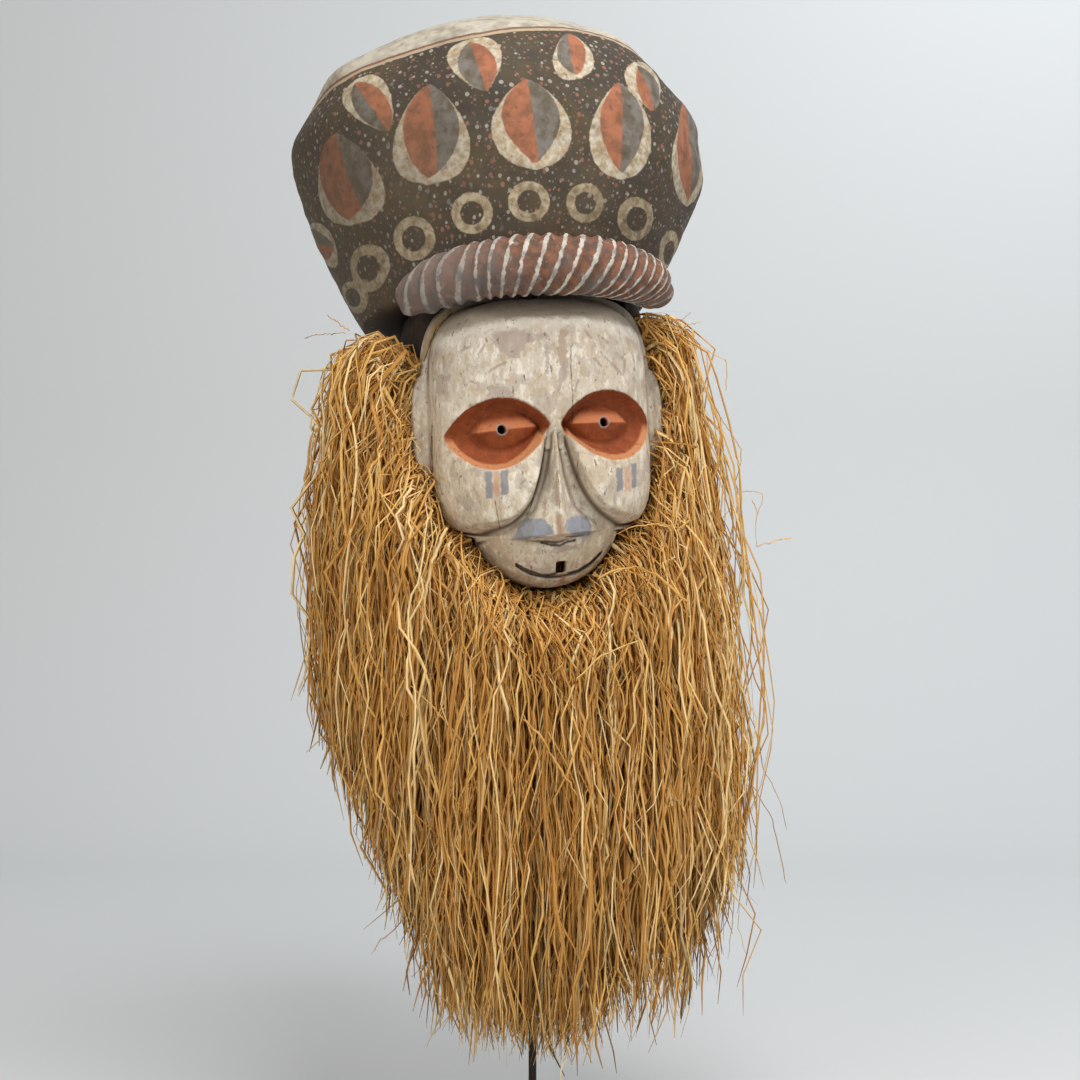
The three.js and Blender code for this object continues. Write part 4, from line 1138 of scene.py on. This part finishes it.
# %% The cloth laid flat, for the dots
# The dots keep one size all over, so they are laid on a flat map of the cloth in millimetres.
CLOTH_RADIUS = 190
quads = np.arange((skin_rows - 1) * CROWN_SIDES)
row, column = quads // CROWN_SIDES, quads % CROWN_SIDES
corner_rows = np.stack([row, row, row + 1, row + 1], 1)
corner_columns = np.stack([column, column + 1, column + 1, column], 1)
climb = np.linalg.norm(np.diff(skin.mean(axis=1), axis=0), axis=1)
widths = np.linalg.norm(skin - skin.mean(axis=1, keepdims=True), axis=2).mean(axis=1)
heights_along = np.concatenate([[0], np.cumsum(np.hypot(climb, np.diff(widths)))])
flat = np.zeros((len(crown.data.loops), 2), np.float32)
flat[: len(quads) * 4, 0] = (corner_columns * (2 * math.pi * CLOTH_RADIUS / CROWN_SIDES)).ravel()
flat[: len(quads) * 4, 1] = heights_along[corner_rows].ravel()
crown.data.uv_layers.new(name="cloth").data.foreach_set("uv", flat.ravel())

# %% The dark ground with its dots
# Cotton or raffia cloth, stiffened with resin and painted with earth colours bound in it, which
# leaves it nearly matt. Two sizes of dots are dabbed on the dark ground, in four tints each.
# Their spacing is in millimetres, and their radius and scatter are shares of it.
DOTS = [(9.2, 0.215, 0.85, ("#a0988a", "#8f5f4b", "#736e65", "#835644")),
        (6.4, 0.15, 1.0, ("#7d7365", "#7f5544", "#68615a", "#8f8677"))]
TINT_STARTS = (0, 0.4, 0.68, 0.85)
cloth, tree, shader = new_material("painted_resin_cloth", 0.78, IOR=1.45)
sheet_place = add(tree, "ShaderNodeUVMap", uv_map="cloth").outputs[0]
fine = noise_of(tree, 6, 6)
ground = painted(tree, "#40372a", ("#53452e", mask(tree, noise_of(tree, 70), 0.42, 0.62)),
                 ("#3d3733", mask(tree, noise_of(tree, 25), 0.5, 0.7)))
for spacing, radius, scatter, tints in DOTS:
    settings = {"Vector": sheet_place, "Scale": 1 / spacing, "Randomness": scatter}
    dots = add(tree, "ShaderNodeTexVoronoi", settings, voronoi_dimensions="2D")
    parts = add(tree, "ShaderNodeSeparateColor", {"Color": dots.outputs["Color"]})
    ragged = frayed(tree, dots.outputs["Distance"], fine, 0.25, middle=0.5)
    off_edge = frayed(tree, ragged, parts.outputs[0], -0.55 * radius)
    spot = mask(tree, off_edge, radius * 0.62, radius * 0.42)
    tint = add(tree, "ShaderNodeValToRGB", {"Fac": parts.outputs[1]})
    ramp = tint.color_ramp
    ramp.interpolation = "CONSTANT"
    ramp.elements[0].color = linear(tints[0])
    ramp.elements[1].color = linear(tints[1])
    ramp.elements[1].position = TINT_STARTS[1]
    for start, shade in zip(TINT_STARTS[2:], tints[2:]):
        ramp.elements.new(start).color = linear(shade)
    shown = mask(tree, parts.outputs[2], 0.12, 0.2)
    ground = painted(tree, ground, (tint.outputs[0], spot, shown))
print("dotted ground in", len(tree.nodes), "nodes")

# %% The painted drops, rings and border, and the dirt and painted shade over them
blotches = noise_of(tree, 7, 8)
cream = painted(tree, "#cfc4ae", ("#a8926f", mask(tree, blotches, 0.38, 0.6)))
ring_cream = painted(tree, "#c2b194", ("#95805f", mask(tree, blotches, 0.4, 0.6)))
orange = painted(tree, "#ad6b4a", ("#8a583c", mask(tree, noise_of(tree, 13, 9), 0.42, 0.6)))
grey = painted(tree, "#7c746c", ("#625746", mask(tree, noise_of(tree, 14, 9), 0.4, 0.58)))
filling = painted(tree, grey, (orange, brushed(tree, "split", wander=0.8)))
top = painted(tree, "#c3bba8", ("#9a8d7a", mask(tree, noise_of(tree, 16, 7), 0.42, 0.66)))
border_place = frayed(tree, value_of(tree, "border"), fine, 2)
# Broad darker clouds, strongest at the places listed above: partly dirt, partly painted shade.
grime_and_shade = both(tree, mask(tree, noise_of(tree, 34, 8), 0.5, 0.78), 0.45)
grime_and_shade = frayed(tree, grime_and_shade, value_of(tree, "dirty"), 0.6)
settings = {"Value": grime_and_shade, "From Max": 0.55, "To Min": 0.08, "To Max": 0.63}
dirt = add(tree, "ShaderNodeMapRange", settings).outputs[0]
soot = both(tree, mask(tree, noise_of(tree, 9, 9), 0.57, 0.66), 0.45)
colour = painted(
    tree, ground,
    (cream, brushed(tree, "drop", wander=1.3)),
    (filling, brushed(tree, "core", wander=1.3)),
    (ring_cream, brushed(tree, "ring", wander=1.3)),
    ("#b5a283", mask(tree, border_place, 0.4, 1.4)),
    ("#80594a", mask(tree, border_place, 5.4, 6.2)),
    (top, mask(tree, border_place, 9.2, 10.4)),
    ("#4b3f2f", dirt),
    ("#38302a", soot, mask(tree, border_place, 9, 5)),
    ("#3c3226", value_of(tree, "lining")),
)
dress(tree, shader, colour, fine, depth_mm=0.9, strength=0.4)
finish_piece(crown, "headdress", cloth)
print("headdress painted in", len(tree.nodes), "nodes")

# %% [markdown]
# ## The striped roll over the brow
# A padded roll of cloth is bound on between the face and the headdress. White lines wind round it.
# A curve with a round bevel would give the roll, but not the winding lines. So rings of points are
# swept along a bow, and each point knows how far it is wound. The place of each line at the roll's
# middle is read off the photograph.

# %% The roll
ROLL_X, ROLL_Y, ROLL_Z, ROLL_SPAN_X, ROLL_SPAN_Y = -10, -50, 829, 122, 78
ROLL_LEAN, ROLL_TURN, ROLL_MIDDLE, ROLL_END = math.radians(24), math.radians(84), 28, 15
ROLL_STEPS, ROLL_SIDES, ROLL_STARTS = 200, 44, 4
SPACING_BEFORE, SPACING_AFTER, LINE_RELIEF = 16, 4, 1.4
STRIPE_PIXELS = [440, 464, 477, 491, 508, 525, 544, 563, 580, 599, 614, 626, 636, 646, 654, 662]

t = np.linspace(-1, 0.93, ROLL_STEPS)[:, None]
a = (np.arange(ROLL_SIDES) / ROLL_SIDES * 2 * math.pi)[None, :]
turn = ROLL_TURN * t
out = np.stack([np.sin(turn), -np.cos(turn) * math.cos(ROLL_LEAN), np.cos(turn) * math.sin(ROLL_LEAN)], -1)
up = np.array([0, math.sin(ROLL_LEAN), math.cos(ROLL_LEAN)])
middle = out * (ROLL_SPAN_X, ROLL_SPAN_Y, ROLL_SPAN_Y)
ends_share = np.linspace(-1, 1, ROLL_STEPS)[:, None]
radius = mix(ROLL_END, ROLL_MIDDLE, super_round(t, 1.7)) * super_round(ends_share * 0.9995, 7)


def roll_place(points):
    """Leans the roll with the face, and puts it in its place."""
    x, y, z = np.moveaxis(points, -1, 0)
    return np.stack([ROLL_X + x * math.cos(FACE_LEAN) - z * math.sin(FACE_LEAN), ROLL_Y + y,
                     ROLL_Z + x * math.sin(FACE_LEAN) + z * math.cos(FACE_LEAN)], -1)


front_line = seen_at(roll_place(middle + out * radius[..., None])[:, 0])[:, 0]
known = [STRIPE_PIXELS[0] - SPACING_BEFORE * k for k in range(6, 0, -1)] + STRIPE_PIXELS
known += [STRIPE_PIXELS[-1] + SPACING_AFTER * k for k in range(1, 5)]
stripe = np.interp(front_line, known, np.arange(len(known)))[:, None] - ROLL_STARTS * a / (2 * math.pi)
wound = np.cos(2 * math.pi * stripe)
relief = LINE_RELIEF * wound * clamp(radius / ROLL_END)
spokes = out * np.cos(a)[..., None] + up * np.sin(a)[..., None]
roll_points = roll_place(middle + spokes * (radius + relief)[..., None])
lumps = 0.9 * noise(roll_points, 17, 31) + 0.35 * noise(roll_points, 5, 32)
roll_points = roll_points + spokes * lumps[..., None] * clamp(radius / ROLL_END)[..., None]
around = np.arange(ROLL_SIDES)
ends = np.stack([around[::-1], (ROLL_STEPS - 1) * ROLL_SIDES + around])
roll = make_mesh("brow_roll_cloth", roll_points.reshape(-1, 3), band_faces(ROLL_STEPS, ROLL_SIDES), ends)
set_values(roll, wound=wound.ravel(), under=(np.sin(a) + 0 * t).ravel(),
           along=(front_line[:, None] + 0 * a).ravel())
print("white lines along the roll:", len(known))

# %% The painted stripes
# Cotton cloth painted in matt brown, with lines of white clay that have worn to grey.
bands, tree, shader = new_material("striped_cloth", 0.85, IOR=1.45)
fine = noise_of(tree, 7, 6)
line = frayed(tree, value_of(tree, "wound"), fine, 1.7, middle=0.5)
white = painted(tree, "#c3bcae", ("#9a958c", mask(tree, noise_of(tree, 11, 5), 0.45, 0.62)))
grey_side = frayed(tree, mask(tree, value_of(tree, "along"), 560, 430), noise_of(tree, 24, 5), 1)
# Grey patches, more of them on the roll's underside: partly dirt, partly painted shade under the roll.
dirt = frayed(tree, noise_of(tree, 22, 6), value_of(tree, "under"), -0.1)
colour = painted(
    tree, "#84573f",
    ("#5f4738", mask(tree, noise_of(tree, 9, 9), 0.42, 0.58)),
    ("#9a8f83", mask(tree, fine, 0.6, 0.66), 0.6),
    (white, mask(tree, line, 0.62, 0.8)),
    ("#6e665f", mask(tree, grey_side, 0.7, 1.4), 0.6),
    ("#5f5a58", mask(tree, dirt, 0.52, 0.72), 0.7),
)
dress(tree, shader, colour, fine, depth_mm=0.8, strength=0.4)
finish_piece(roll, "brow_roll", bands)
print("roll:", len(roll.data.polygons), "faces")

# %% [markdown]
# ## The dark cloth hood
# Dark cloth is sewn to the back of the wooden rim and closes the sides and back of the head, under
# the headdress and behind the fringe. It is stretched and sewn, so it needs no simulation. Two
# skins 4 mm apart, with the same folds, are joined to one closed strip.

# %% The hood
HOOD_COLUMNS, HOOD_ROWS = 150, 34
t = np.linspace(0, 1, HOOD_COLUMNS)[None, :]
level = np.linspace(0, 1, HOOD_ROWS)[:, None]
taper = curve_through(HOOD_TAPER, level)
grids = []
for inset in (0, HOOD_THICKNESS):
    hood_x, hood_y = hood_plan(t, taper - inset)
    grids.append(np.stack(np.broadcast_arrays(hood_x, hood_y, mix(HOOD_BOTTOM, HOOD_TOP, level)), -1))
outwards = grids[0] - grids[1]
outwards /= np.maximum(np.linalg.norm(outwards, axis=-1, keepdims=True), 1e-6)
folds = 1.6 * noise(grids[0], (16, 16, 60), 41) + 0.6 * noise(grids[0], 8, 42)
outer_side, inner_side = (grid + outwards * folds[..., None] for grid in grids)
loop = np.concatenate([outer_side, inner_side[::-1]])
count = HOOD_ROWS * 2
rows_to_columns = np.moveaxis(loop, 1, 0)
around = np.arange(count)
hood_ends = np.stack([around[::-1], (HOOD_COLUMNS - 1) * count + around])
hood = make_mesh("hood_band", rows_to_columns.reshape(-1, 3),
                 band_faces(HOOD_COLUMNS, count)[:, ::-1], hood_ends[:, ::-1])

# %% The hood's cloth
# Dark woven cotton, rough and dull. The weave is drawn about twice as coarse as it is, to show.
dark, tree, shader = new_material("dark_woven_cloth", 0.92, IOR=1.45)
weave = noise_of(tree, 2.5, 3)
colour = painted(tree, "#2a211b", ("#40332a", mask(tree, noise_of(tree, 16, 6), 0.42, 0.7)),
                 ("#5a4a3c", mask(tree, weave, 0.55, 0.75), 0.5))
dress(tree, shader, colour, weave, depth_mm=0.7)
finish_piece(hood, "hood_cloth", dark)
# The band is cut 197 mm high and 545 mm long, and narrows a little towards the top.
print("hood:", len(hood.data.polygons), "faces")

# %% [markdown]
# ## The raffia fringe
# The fringe is thousands of strips of dry palm leaf. They are tied round the face's edge and round
# the hood in bundles, spring up and outwards, and hang. Blender's hair would draw them quickly, but
# a model that is exported needs meshes. So each strand is a thin closed strip that follows nine
# places from the tie to the hem, and it wanders, kinks and twists on its way.

# %% Sizes of the fringe
LEFT_TIE, RIGHT_TIE, BACK_TIE, LEFT_REACH, RIGHT_REACH, LEFT_FLARE, RIGHT_FLARE = 42, 82, 40, 74, 27, 8, 54
LEFT_RISE, RIGHT_RISE, FRONT_REACH, FRONT_START, BACK_REACH, CHIN_SHARE = 46, 28, 52, 50, 56, 0.09
FRINGE_THICKNESS, BACK_HEM, WANDER = 30, 310, 1.18
# The hem's height at a place across: where the fringe is still full, and where the last ends hang.
FULL_HEM = [(-270, 440), (-238, 405), (-205, 370), (-180, 320), (-141, 245), (-108, 190), (-74, 165),
            (-29, 150), (16, 150), (50, 185), (83, 215), (118, 228), (173, 258), (230, 325)]
LAST_HEM = [(-270, 415), (-238, 380), (-205, 335), (-180, 270), (-141, 185), (-108, 128), (-74, 111),
            (-29, 98), (16, 98), (83, 112), (151, 117), (173, 199), (230, 277)]
# How far along each of a strand's nine places is: outwards, flared, forward, sagged in front, and
# fallen from the top of its arch to the hem.
GUIDE_PLACES, ARCH_PLACES = 9, 5
OUTWARD = [0.02, 0.22, 0.55, 0.86, 0.98, 0.96, 1, 1, 1]
FLARED = [0, 0, 0, 0.05, 0.2, 0.55, 0.8, 0.95, 1]
FORWARD = [0, 0.2, 0.5, 0.8, 1, 1, 1, 1, 1]
SAGGED = [6, 16, 26, 34, 30, 0, 0, 0, 0]
FALLEN = [None, None, None, None, None, 0.28, 0.5, 0.75, 1]
print("hem from", max(high for _, high in FULL_HEM), "down to", min(low for _, low in LAST_HEM), "mm")

# %% Where the fringe is tied, and how it springs and hangs
def fringe_root(s, turned):
    """The tie and the way out of it, at a share round the mask from the chin by the right."""
    side, t = np.where(s < 0.5, 1, -1), np.where(s < 0.5, 2 * s, 2 * (1 - s))
    front, behind = clamp(t / 0.5), clamp((t - 0.5) / 0.5)
    tie = np.where(side > 0, RIGHT_TIE, LEFT_TIE)
    climb = clamp((front - CHIN_SHARE) / (1 - CHIN_SHARE)) ** 1.25
    v = np.where(behind > 0, mix(tie, BACK_TIE, smooth(behind * 3)), mix(FACE_BOTTOM + 4, tie, climb))
    edge = np.minimum(np.maximum(upper_half_width(v), chin_half_width(v)), HOOD_RIM_HALF_WIDTH) - 2
    edge = edge * clamp(front / CHIN_SHARE)
    hood_x, hood_y = hood_plan(np.where(side < 0, behind / 2, 1 - behind / 2))
    across = np.where(behind > 0, np.abs(hood_x - FACE_X), edge) * side
    leaned_x = across * math.cos(FACE_LEAN) - v * math.sin(FACE_LEAN)
    leaned_z = across * math.sin(FACE_LEAN) + v * math.cos(FACE_LEAN)
    way = math.pi * mix(0.5 * front**0.9, 1, behind) + side * turned
    root = np.stack([FACE_X + np.where(behind > 0, across, leaned_x),
                     np.where(behind > 0, hood_y, RIM_Y + 4), BRIDGE_Z + leaned_z], -1)
    return root, side * np.sin(way), -np.cos(way), 1 - front, behind


def strand_guides(s, turned, depth, reach_down):
    """Nine places of each strand, from the tie to the hem. Depth is 1 outside and 0 inside, and
    reach_down is 1 for a strand that ends at the last of the hem."""
    root, way_x, way_y, front, behind = fringe_root(s, turned)
    sideways, right = np.abs(way_x), way_x > 0
    plain = mix(np.where(behind > 0, BACK_REACH, FRONT_REACH),
                np.where(right, RIGHT_REACH, LEFT_REACH), sideways**1.5)
    reach = mix(mix(10, plain - FRINGE_THICKNESS, smooth(behind * 3)), plain, depth)
    flare = np.where(right, RIGHT_FLARE, LEFT_FLARE) * sideways * mix(0.6, 1, depth)
    forward = np.where(behind > 0, 0, FRONT_START * (1 - sideways) ** 1.2) * mix(0.3, 1, depth)
    rise = np.where(right, RIGHT_RISE, LEFT_RISE) * smooth(sideways * 1.3 - 0.3) * (1 - front * 0.5) * depth
    top = root[:, 2] + rise
    across = (root[:, 0] + way_x * (reach + flare)) * WANDER
    hem = mix(curve_through(FULL_HEM, across), curve_through(LAST_HEM, across), reach_down)
    back_hem = BACK_HEM + 1.15 * np.maximum(0, -across - 112) - 30 * reach_down
    hem = mix(hem, back_hem, smooth(behind * 2))
    arch = [root[:, 2], root[:, 2] + 0.42 * rise, top, top - 0.14 * reach - 4, top - 0.5 * reach - 16]
    guides = []
    for place in range(GUIDE_PLACES):
        z = arch[place] if place < ARCH_PLACES else top - (top - hem) * FALLEN[place]
        far = reach * OUTWARD[place] + flare * FLARED[place]
        guides.append(np.stack([root[:, 0] + way_x * far,
                                root[:, 1] + way_y * (far + forward * FORWARD[place]),
                                z - SAGGED[place] * (1 - sideways)], -1))
    return np.stack(guides, 1)


# %% A smooth curve through a strand's places
def spline_weights(count, places):
    """Weights that take count guide places to points of a smooth curve through them."""
    weights = np.zeros((len(places), count))
    for row, place in enumerate(places):
        k = min(int(place), count - 2)
        u = place - k
        parts = (-u**3 + 2 * u**2 - u, 3 * u**3 - 5 * u**2 + 2, -3 * u**3 + 4 * u**2 + u, u**3 - u**2)
        for offset, part in zip((-1, 0, 1, 2), parts):
            weights[row, min(max(k + offset, 0), count - 1)] += part / 2
    return weights


# %% Bundles
# More strands are tied in front than behind. Those of a bundle share its place and its sway.
STRANDS, BUNDLES, STRAND_POINTS, ARCH_POINTS = 5400, 520, 20, 7
PIECES = ["fringe_right_front", "fringe_right_back", "fringe_left_back", "fringe_left_front"]
TIE_SCATTER, WAY_SCATTER, DEPTH_SCATTER = 0.006, 0.22, 0.13
SHORT_SHARE, WILD_SHARE, WILDER = 0.2, 0.13, 1.7
BUNDLE_SWAY, BUNDLE_BEND, OWN_SWAY, KINKS = (11, 9, 4), (9, 8, 3), (7, 7, 4), (0.15, 0.14, 0.08)
rng = np.random.default_rng(7)

around_share = np.linspace(0, 1, 400)
wanted = 1.25 + 2.2 * np.exp(-((np.minimum(around_share, 1 - around_share) / 0.24) ** 2))
spread = np.cumsum(wanted) / wanted.sum()
bundle_s = np.interp((np.arange(BUNDLES) + rng.random(BUNDLES)) / BUNDLES, spread, around_share)
bundle_depth = rng.random(BUNDLES) ** 0.7
bundle_length = rng.random(BUNDLES)
bundle_sway = rng.normal(0, 1, (BUNDLES, 3))
bundle_bend = rng.normal(0, 1, (BUNDLES, 3))

# %% Strands in their bundles
# Each strand has its own place, depth and length near its bundle's, and wanders off by itself.
bundle = rng.integers(0, BUNDLES, STRANDS)
s = (bundle_s[bundle] + rng.normal(0, TIE_SCATTER, STRANDS)) % 1
depth = np.clip(bundle_depth[bundle] + rng.normal(0, DEPTH_SCATTER, STRANDS), 0, 1.08)
reach_down = mix(bundle_length[bundle], rng.random(STRANDS), 0.6) ** 1.6 - 0.2 * rng.random(STRANDS)
guides = strand_guides(s, rng.normal(0, WAY_SCATTER, STRANDS), depth, reach_down)
short = np.where(rng.random(STRANDS) < SHORT_SHARE, rng.uniform(0.5, 0.95, STRANDS), 1)
station = np.arange(GUIDE_PLACES)
loose = smooth(station / 7)[None, :, None]
guides += loose * (bundle_sway[bundle] * BUNDLE_SWAY)[:, None, :]
there_and_back = np.sin(station / 8 * 2 * math.pi) * 0.8
guides += there_and_back[None, :, None] * (bundle_bend[bundle] * BUNDLE_BEND)[:, None, :]
wild = rng.uniform(0.45, 1.35, STRANDS) * np.where(rng.random(STRANDS) < WILD_SHARE, WILDER, 1)
own = rng.normal(0, 1, (STRANDS, GUIDE_PLACES, 3)).clip(-2, 2) * OWN_SWAY
guides += own * wild[:, None, None] * clamp((station + 0.5) / 3)[None, :, None]
print("guides:", guides.shape)

# %% Smooth, kinked paths
# The arch has more points than the hanging part. One strand in five is cut shorter, and dry
# fibre has small kinks, the more so the wilder the strand is.
places = np.concatenate([np.linspace(0, 4, ARCH_POINTS)[:-1],
                         np.linspace(4, 8, STRAND_POINTS - ARCH_POINTS + 1)])
paths = np.einsum("mk,nkc->nmc", spline_weights(GUIDE_PLACES, places), guides)
cut = mix(0, len(places) - 1, np.linspace(0, 1, len(places)))[None, :] * short[:, None]
low = np.minimum(cut.astype(int), len(places) - 2)
pick = np.arange(STRANDS)[:, None]
paths = mix(paths[pick, low], paths[pick, low + 1], (cut - low)[..., None])
kinks = rng.normal(0, 1, paths.shape).clip(-1.9, 1.9) * KINKS
kinks[:, 1:] += 0.6 * kinks[:, :-1]
steps = np.linalg.norm(np.gradient(paths, axis=1), axis=-1)
paths += kinks * (wild[:, None] * steps)[..., None]
print("middle length of a strand:", round(float(np.median(steps.sum(axis=1)))), "mm")

# %% Loose strands that the photograph shows one by one
# Their pixels, their width in millimetres, and how far forward they hang.
LOOSE = [
    ([(598, 579), (612, 571), (636, 566), (655, 574), (690, 604)], 3.4, -150),
    ([(447, 527), (441, 540), (433, 560), (426, 590), (420, 640)], 4.5, -120),
    ([(346, 619), (351, 660), (365, 700), (388, 745), (412, 795)], 5.0, -110),
    ([(523, 719), (540, 735), (556, 762), (577, 796)], 3.2, -165),
    ([(640, 640), (600, 655), (576, 680), (561, 720), (566, 760)], 2.4, -165),
    ([(700, 345), (714, 354), (727, 361), (727, 375), (725, 391)], 1.3, -60),
    ([(719, 416), (731, 433), (741, 450), (740, 466), (735, 484)], 1.4, -60),
    ([(742, 492), (753, 491), (763, 494), (762, 503), (757, 516)], 1.0, -60),
    ([(752, 500), (757, 512), (755, 535), (758, 548)], 1.2, -60),
    ([(755, 546), (768, 543), (780, 540), (792, 538)], 1.5, -60),
    ([(672, 318), (684, 326), (694, 323), (704, 322)], 1.1, -60),
    ([(350, 331), (342, 326), (333, 319), (326, 315)], 1.4, -60),
    ([(345, 333), (330, 334), (317, 335), (304, 338)], 1.2, -60),
    ([(327, 460), (312, 480), (298, 500), (296, 520), (309, 553)], 1.2, -60),
    ([(330, 452), (322, 462), (314, 461), (307, 455)], 2.0, -60),
    ([(408, 441), (413, 437), (416, 445), (421, 450), (418, 455)], 1.0, -72),
    ([(411, 463), (420, 463), (430, 470), (444, 490), (458, 515)], 1.6, -70),
    ([(655, 478), (664, 500), (668, 517), (678, 521), (686, 514)], 2.2, -95),
    ([(613, 537), (632, 526), (660, 524), (690, 530)], 1.8, -105),
    ([(640, 500), (652, 470), (664, 455), (668, 440)], 1.8, -70),
    ([(745, 700), (757, 735), (764, 770), (780, 800), (787, 830)], 1.2, -55),
    ([(730, 740), (745, 775), (762, 800), (771, 815), (781, 858), (786, 885)], 1.2, -60),
    ([(700, 790), (722, 820), (735, 850), (742, 885), (738, 925), (746, 955)], 1.3, -70),
    ([(690, 800), (700, 850), (722, 880), (733, 915), (728, 960)], 1.2, -80),
    ([(715, 740), (738, 752), (752, 770), (748, 800), (758, 835)], 1.2, -75),
    ([(640, 850), (664, 885), (690, 905), (706, 945), (700, 985)], 1.2, -85),
    ([(380, 790), (362, 815), (352, 830), (366, 850)], 1.1, -70),
    ([(432, 870), (411, 905), (399, 925), (380, 940), (372, 955)], 1.2, -75),
]
print("loose strands:", len(LOOSE))

# %% The fringe kept behind the carving, and the loose strands added
FACE_EDGE = [(424, 360), (412, 390), (409, 420), (411, 455), (414, 463), (425, 471), (437, 479),
             (442, 500), (452, 517), (470, 532), (482, 550), (495, 564), (510, 578), (530, 587),
             (545, 590), (568, 588), (585, 581), (601, 563), (611, 546), (619, 527), (641, 513),
             (651, 500), (653, 470), (656, 455), (667, 440), (667, 400), (660, 380), (646, 365),
             (640, 330), (600, 300), (450, 300)]
over_face = distance_to(seen_at(paths.reshape(-1, 3)), FACE_EDGE, closed=True) > 0
over_face = over_face.reshape(STRANDS, STRAND_POINTS)
paths[..., 1] = np.where(over_face, np.maximum(paths[..., 1], RIM_Y + 6), paths[..., 1])
for pixels, _, forward in LOOSE:
    ways = [np.array(sight_line(*pixel)) for pixel in pixels]
    line = np.array([camera_place + way * (forward - camera_place[1]) / way[1] for way in ways])
    length = np.concatenate([[0], np.cumsum(np.linalg.norm(np.diff(line, axis=0), axis=1))])
    evenly = np.linspace(0, length[-1], STRAND_POINTS)
    one = np.stack([np.interp(evenly, length, line[:, axis]) for axis in range(3)], -1)
    paths = np.concatenate([paths, (one + rng.normal(0, 0.5, one.shape))[None]])
count = len(paths)
# The loose ones all go with the front left piece, which lies about this share round the mask.
LOOSE_SHARE = 0.9
s = np.append(s, np.full(len(LOOSE), LOOSE_SHARE))
depth = np.append(depth, np.ones(len(LOOSE)))
print("strands:", STRANDS, "in", BUNDLES, "bundles, and", len(LOOSE), "loose ones")

# %% Strips along the paths
# Each strip is a flat three-sided tube that twists and is thinner at both ends.
width = np.append(rng.gamma(4, 0.44, STRANDS) + 0.75, [wide for _, wide, _ in LOOSE])
flatness = rng.uniform(0.35, 0.85, count)
along = np.linspace(0, 1, STRAND_POINTS)
thinning = mix(0.6, 1, super_round(2 * along - 1, 2.5)) * np.where(along > 0.97, 0.4, 1)
tangent = np.gradient(paths, axis=1)
tangent /= np.maximum(np.linalg.norm(tangent, axis=-1, keepdims=True), 1e-6)
reference = rng.normal(0, 1, (count, 1, 3))
side_way = np.cross(tangent, reference)
side_way /= np.maximum(np.linalg.norm(side_way, axis=-1, keepdims=True), 1e-6)
flat_way = np.cross(tangent, side_way)
twist = rng.uniform(0, 6.28, count)[:, None] + rng.normal(0, 2.2, count)[:, None] * along
wide_way = side_way * np.cos(twist)[..., None] + flat_way * np.sin(twist)[..., None]
thin_way = flat_way * np.cos(twist)[..., None] - side_way * np.sin(twist)[..., None]
corners = []
for corner in range(3):
    angle = 2 * math.pi * corner / 3
    half = (width[:, None] * thinning / 2)[..., None]
    thin = math.sin(angle) * flatness[:, None, None]
    corners.append(paths + half * (wide_way * math.cos(angle) + thin_way * thin))
tubes = np.stack(corners, 2)

# %% Keep the strands within the fringe's own box
fringe_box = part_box("raffia_fringe")
# The box is in metres. A strand may stray this far out of it.
SPARE = 0.022
low, high = np.array(fringe_box[0]) - SPARE, np.array(fringe_box[1]) + SPARE
tubes = np.clip(tubes, low / MM, high / MM)

# %% Four pieces of the fringe, in order round the mask
one = band_faces(STRAND_POINTS, 3)
tips = np.array([[2, 1, 0], [(STRAND_POINTS - 1) * 3 + k for k in range(3)]])
tint, burnt = rng.random(count), rng.random(count)
order = np.argsort(s)
straw, tree, shader = new_material("raffia_strips", 0.58, IOR=1.45)
for piece_name, members in zip(PIECES, np.array_split(order, 4)):
    starts = (np.arange(len(members)) * STRAND_POINTS * 3)[:, None, None]
    piece = make_mesh(piece_name, tubes[members].reshape(-1, 3), (one[None] + starts).reshape(-1, 4),
                      (tips[None] + starts).reshape(-1, 3))
    for label, values in (("tint", tint), ("burnt", burnt), ("depth", depth)):
        set_values(piece, **{label: np.repeat(values[members], STRAND_POINTS * 3)})
    set_values(piece, along=np.tile(np.repeat(along, 3), len(members)))
    finish_piece(piece, "raffia_fringe", straw)
    print(piece_name, len(members), "strands", len(piece.data.polygons), "faces")

# %% The dry palm fibre
# Strips of palm leaf have a slight natural gloss. Each has its own tint and fine brown streaks,
# the inner ones are in shade, and some have dark ends.
streak = noise_of(tree, 5, 4, stretch=(1, 1, 9))
own_tint, near_end = value_of(tree, "tint"), mask(tree, value_of(tree, "along"), 0.8, 1.0)
colour = painted(
    tree, "#c0863a",
    ("#eab965", mask(tree, own_tint, 0.15, 0.75)),
    ("#f5d99e", mask(tree, own_tint, 0.7, 0.95)),
    ("#94672c", mask(tree, streak, 0.52, 0.72), 0.5),
    ("#6b4519", mask(tree, value_of(tree, "depth"), 0.6, 0.0), 0.6),
    ("#4a3018", near_end, mask(tree, value_of(tree, "burnt"), 0.75, 0.9)),
)
dress(tree, shader, colour)

# %% [markdown]
# ## The stand
# The mask is shown on a dark steel rod with a foot. Both are plain turned and cut forms, so they
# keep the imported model's own meshes and only need their metal.

# %% Dark bronzed steel
# Steel with a dark bronze patina, waxed. The patina hides a little of the metal, and its colour
# clouds over some 14 mm.
metal, tree, shader = new_material("bronzed_steel", 0.42, Metallic=0.85)
dress(tree, shader, painted(tree, "#2b2622", ("#443a31", mask(tree, noise_of(tree, 14, 5), 0.4, 0.7))))
for name in ("display_rod", "foot_plate"):
    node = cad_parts[name]
    node.data.materials.clear()
    node.data.materials.append(metal)
print("stand: rod and foot in dark bronzed steel")
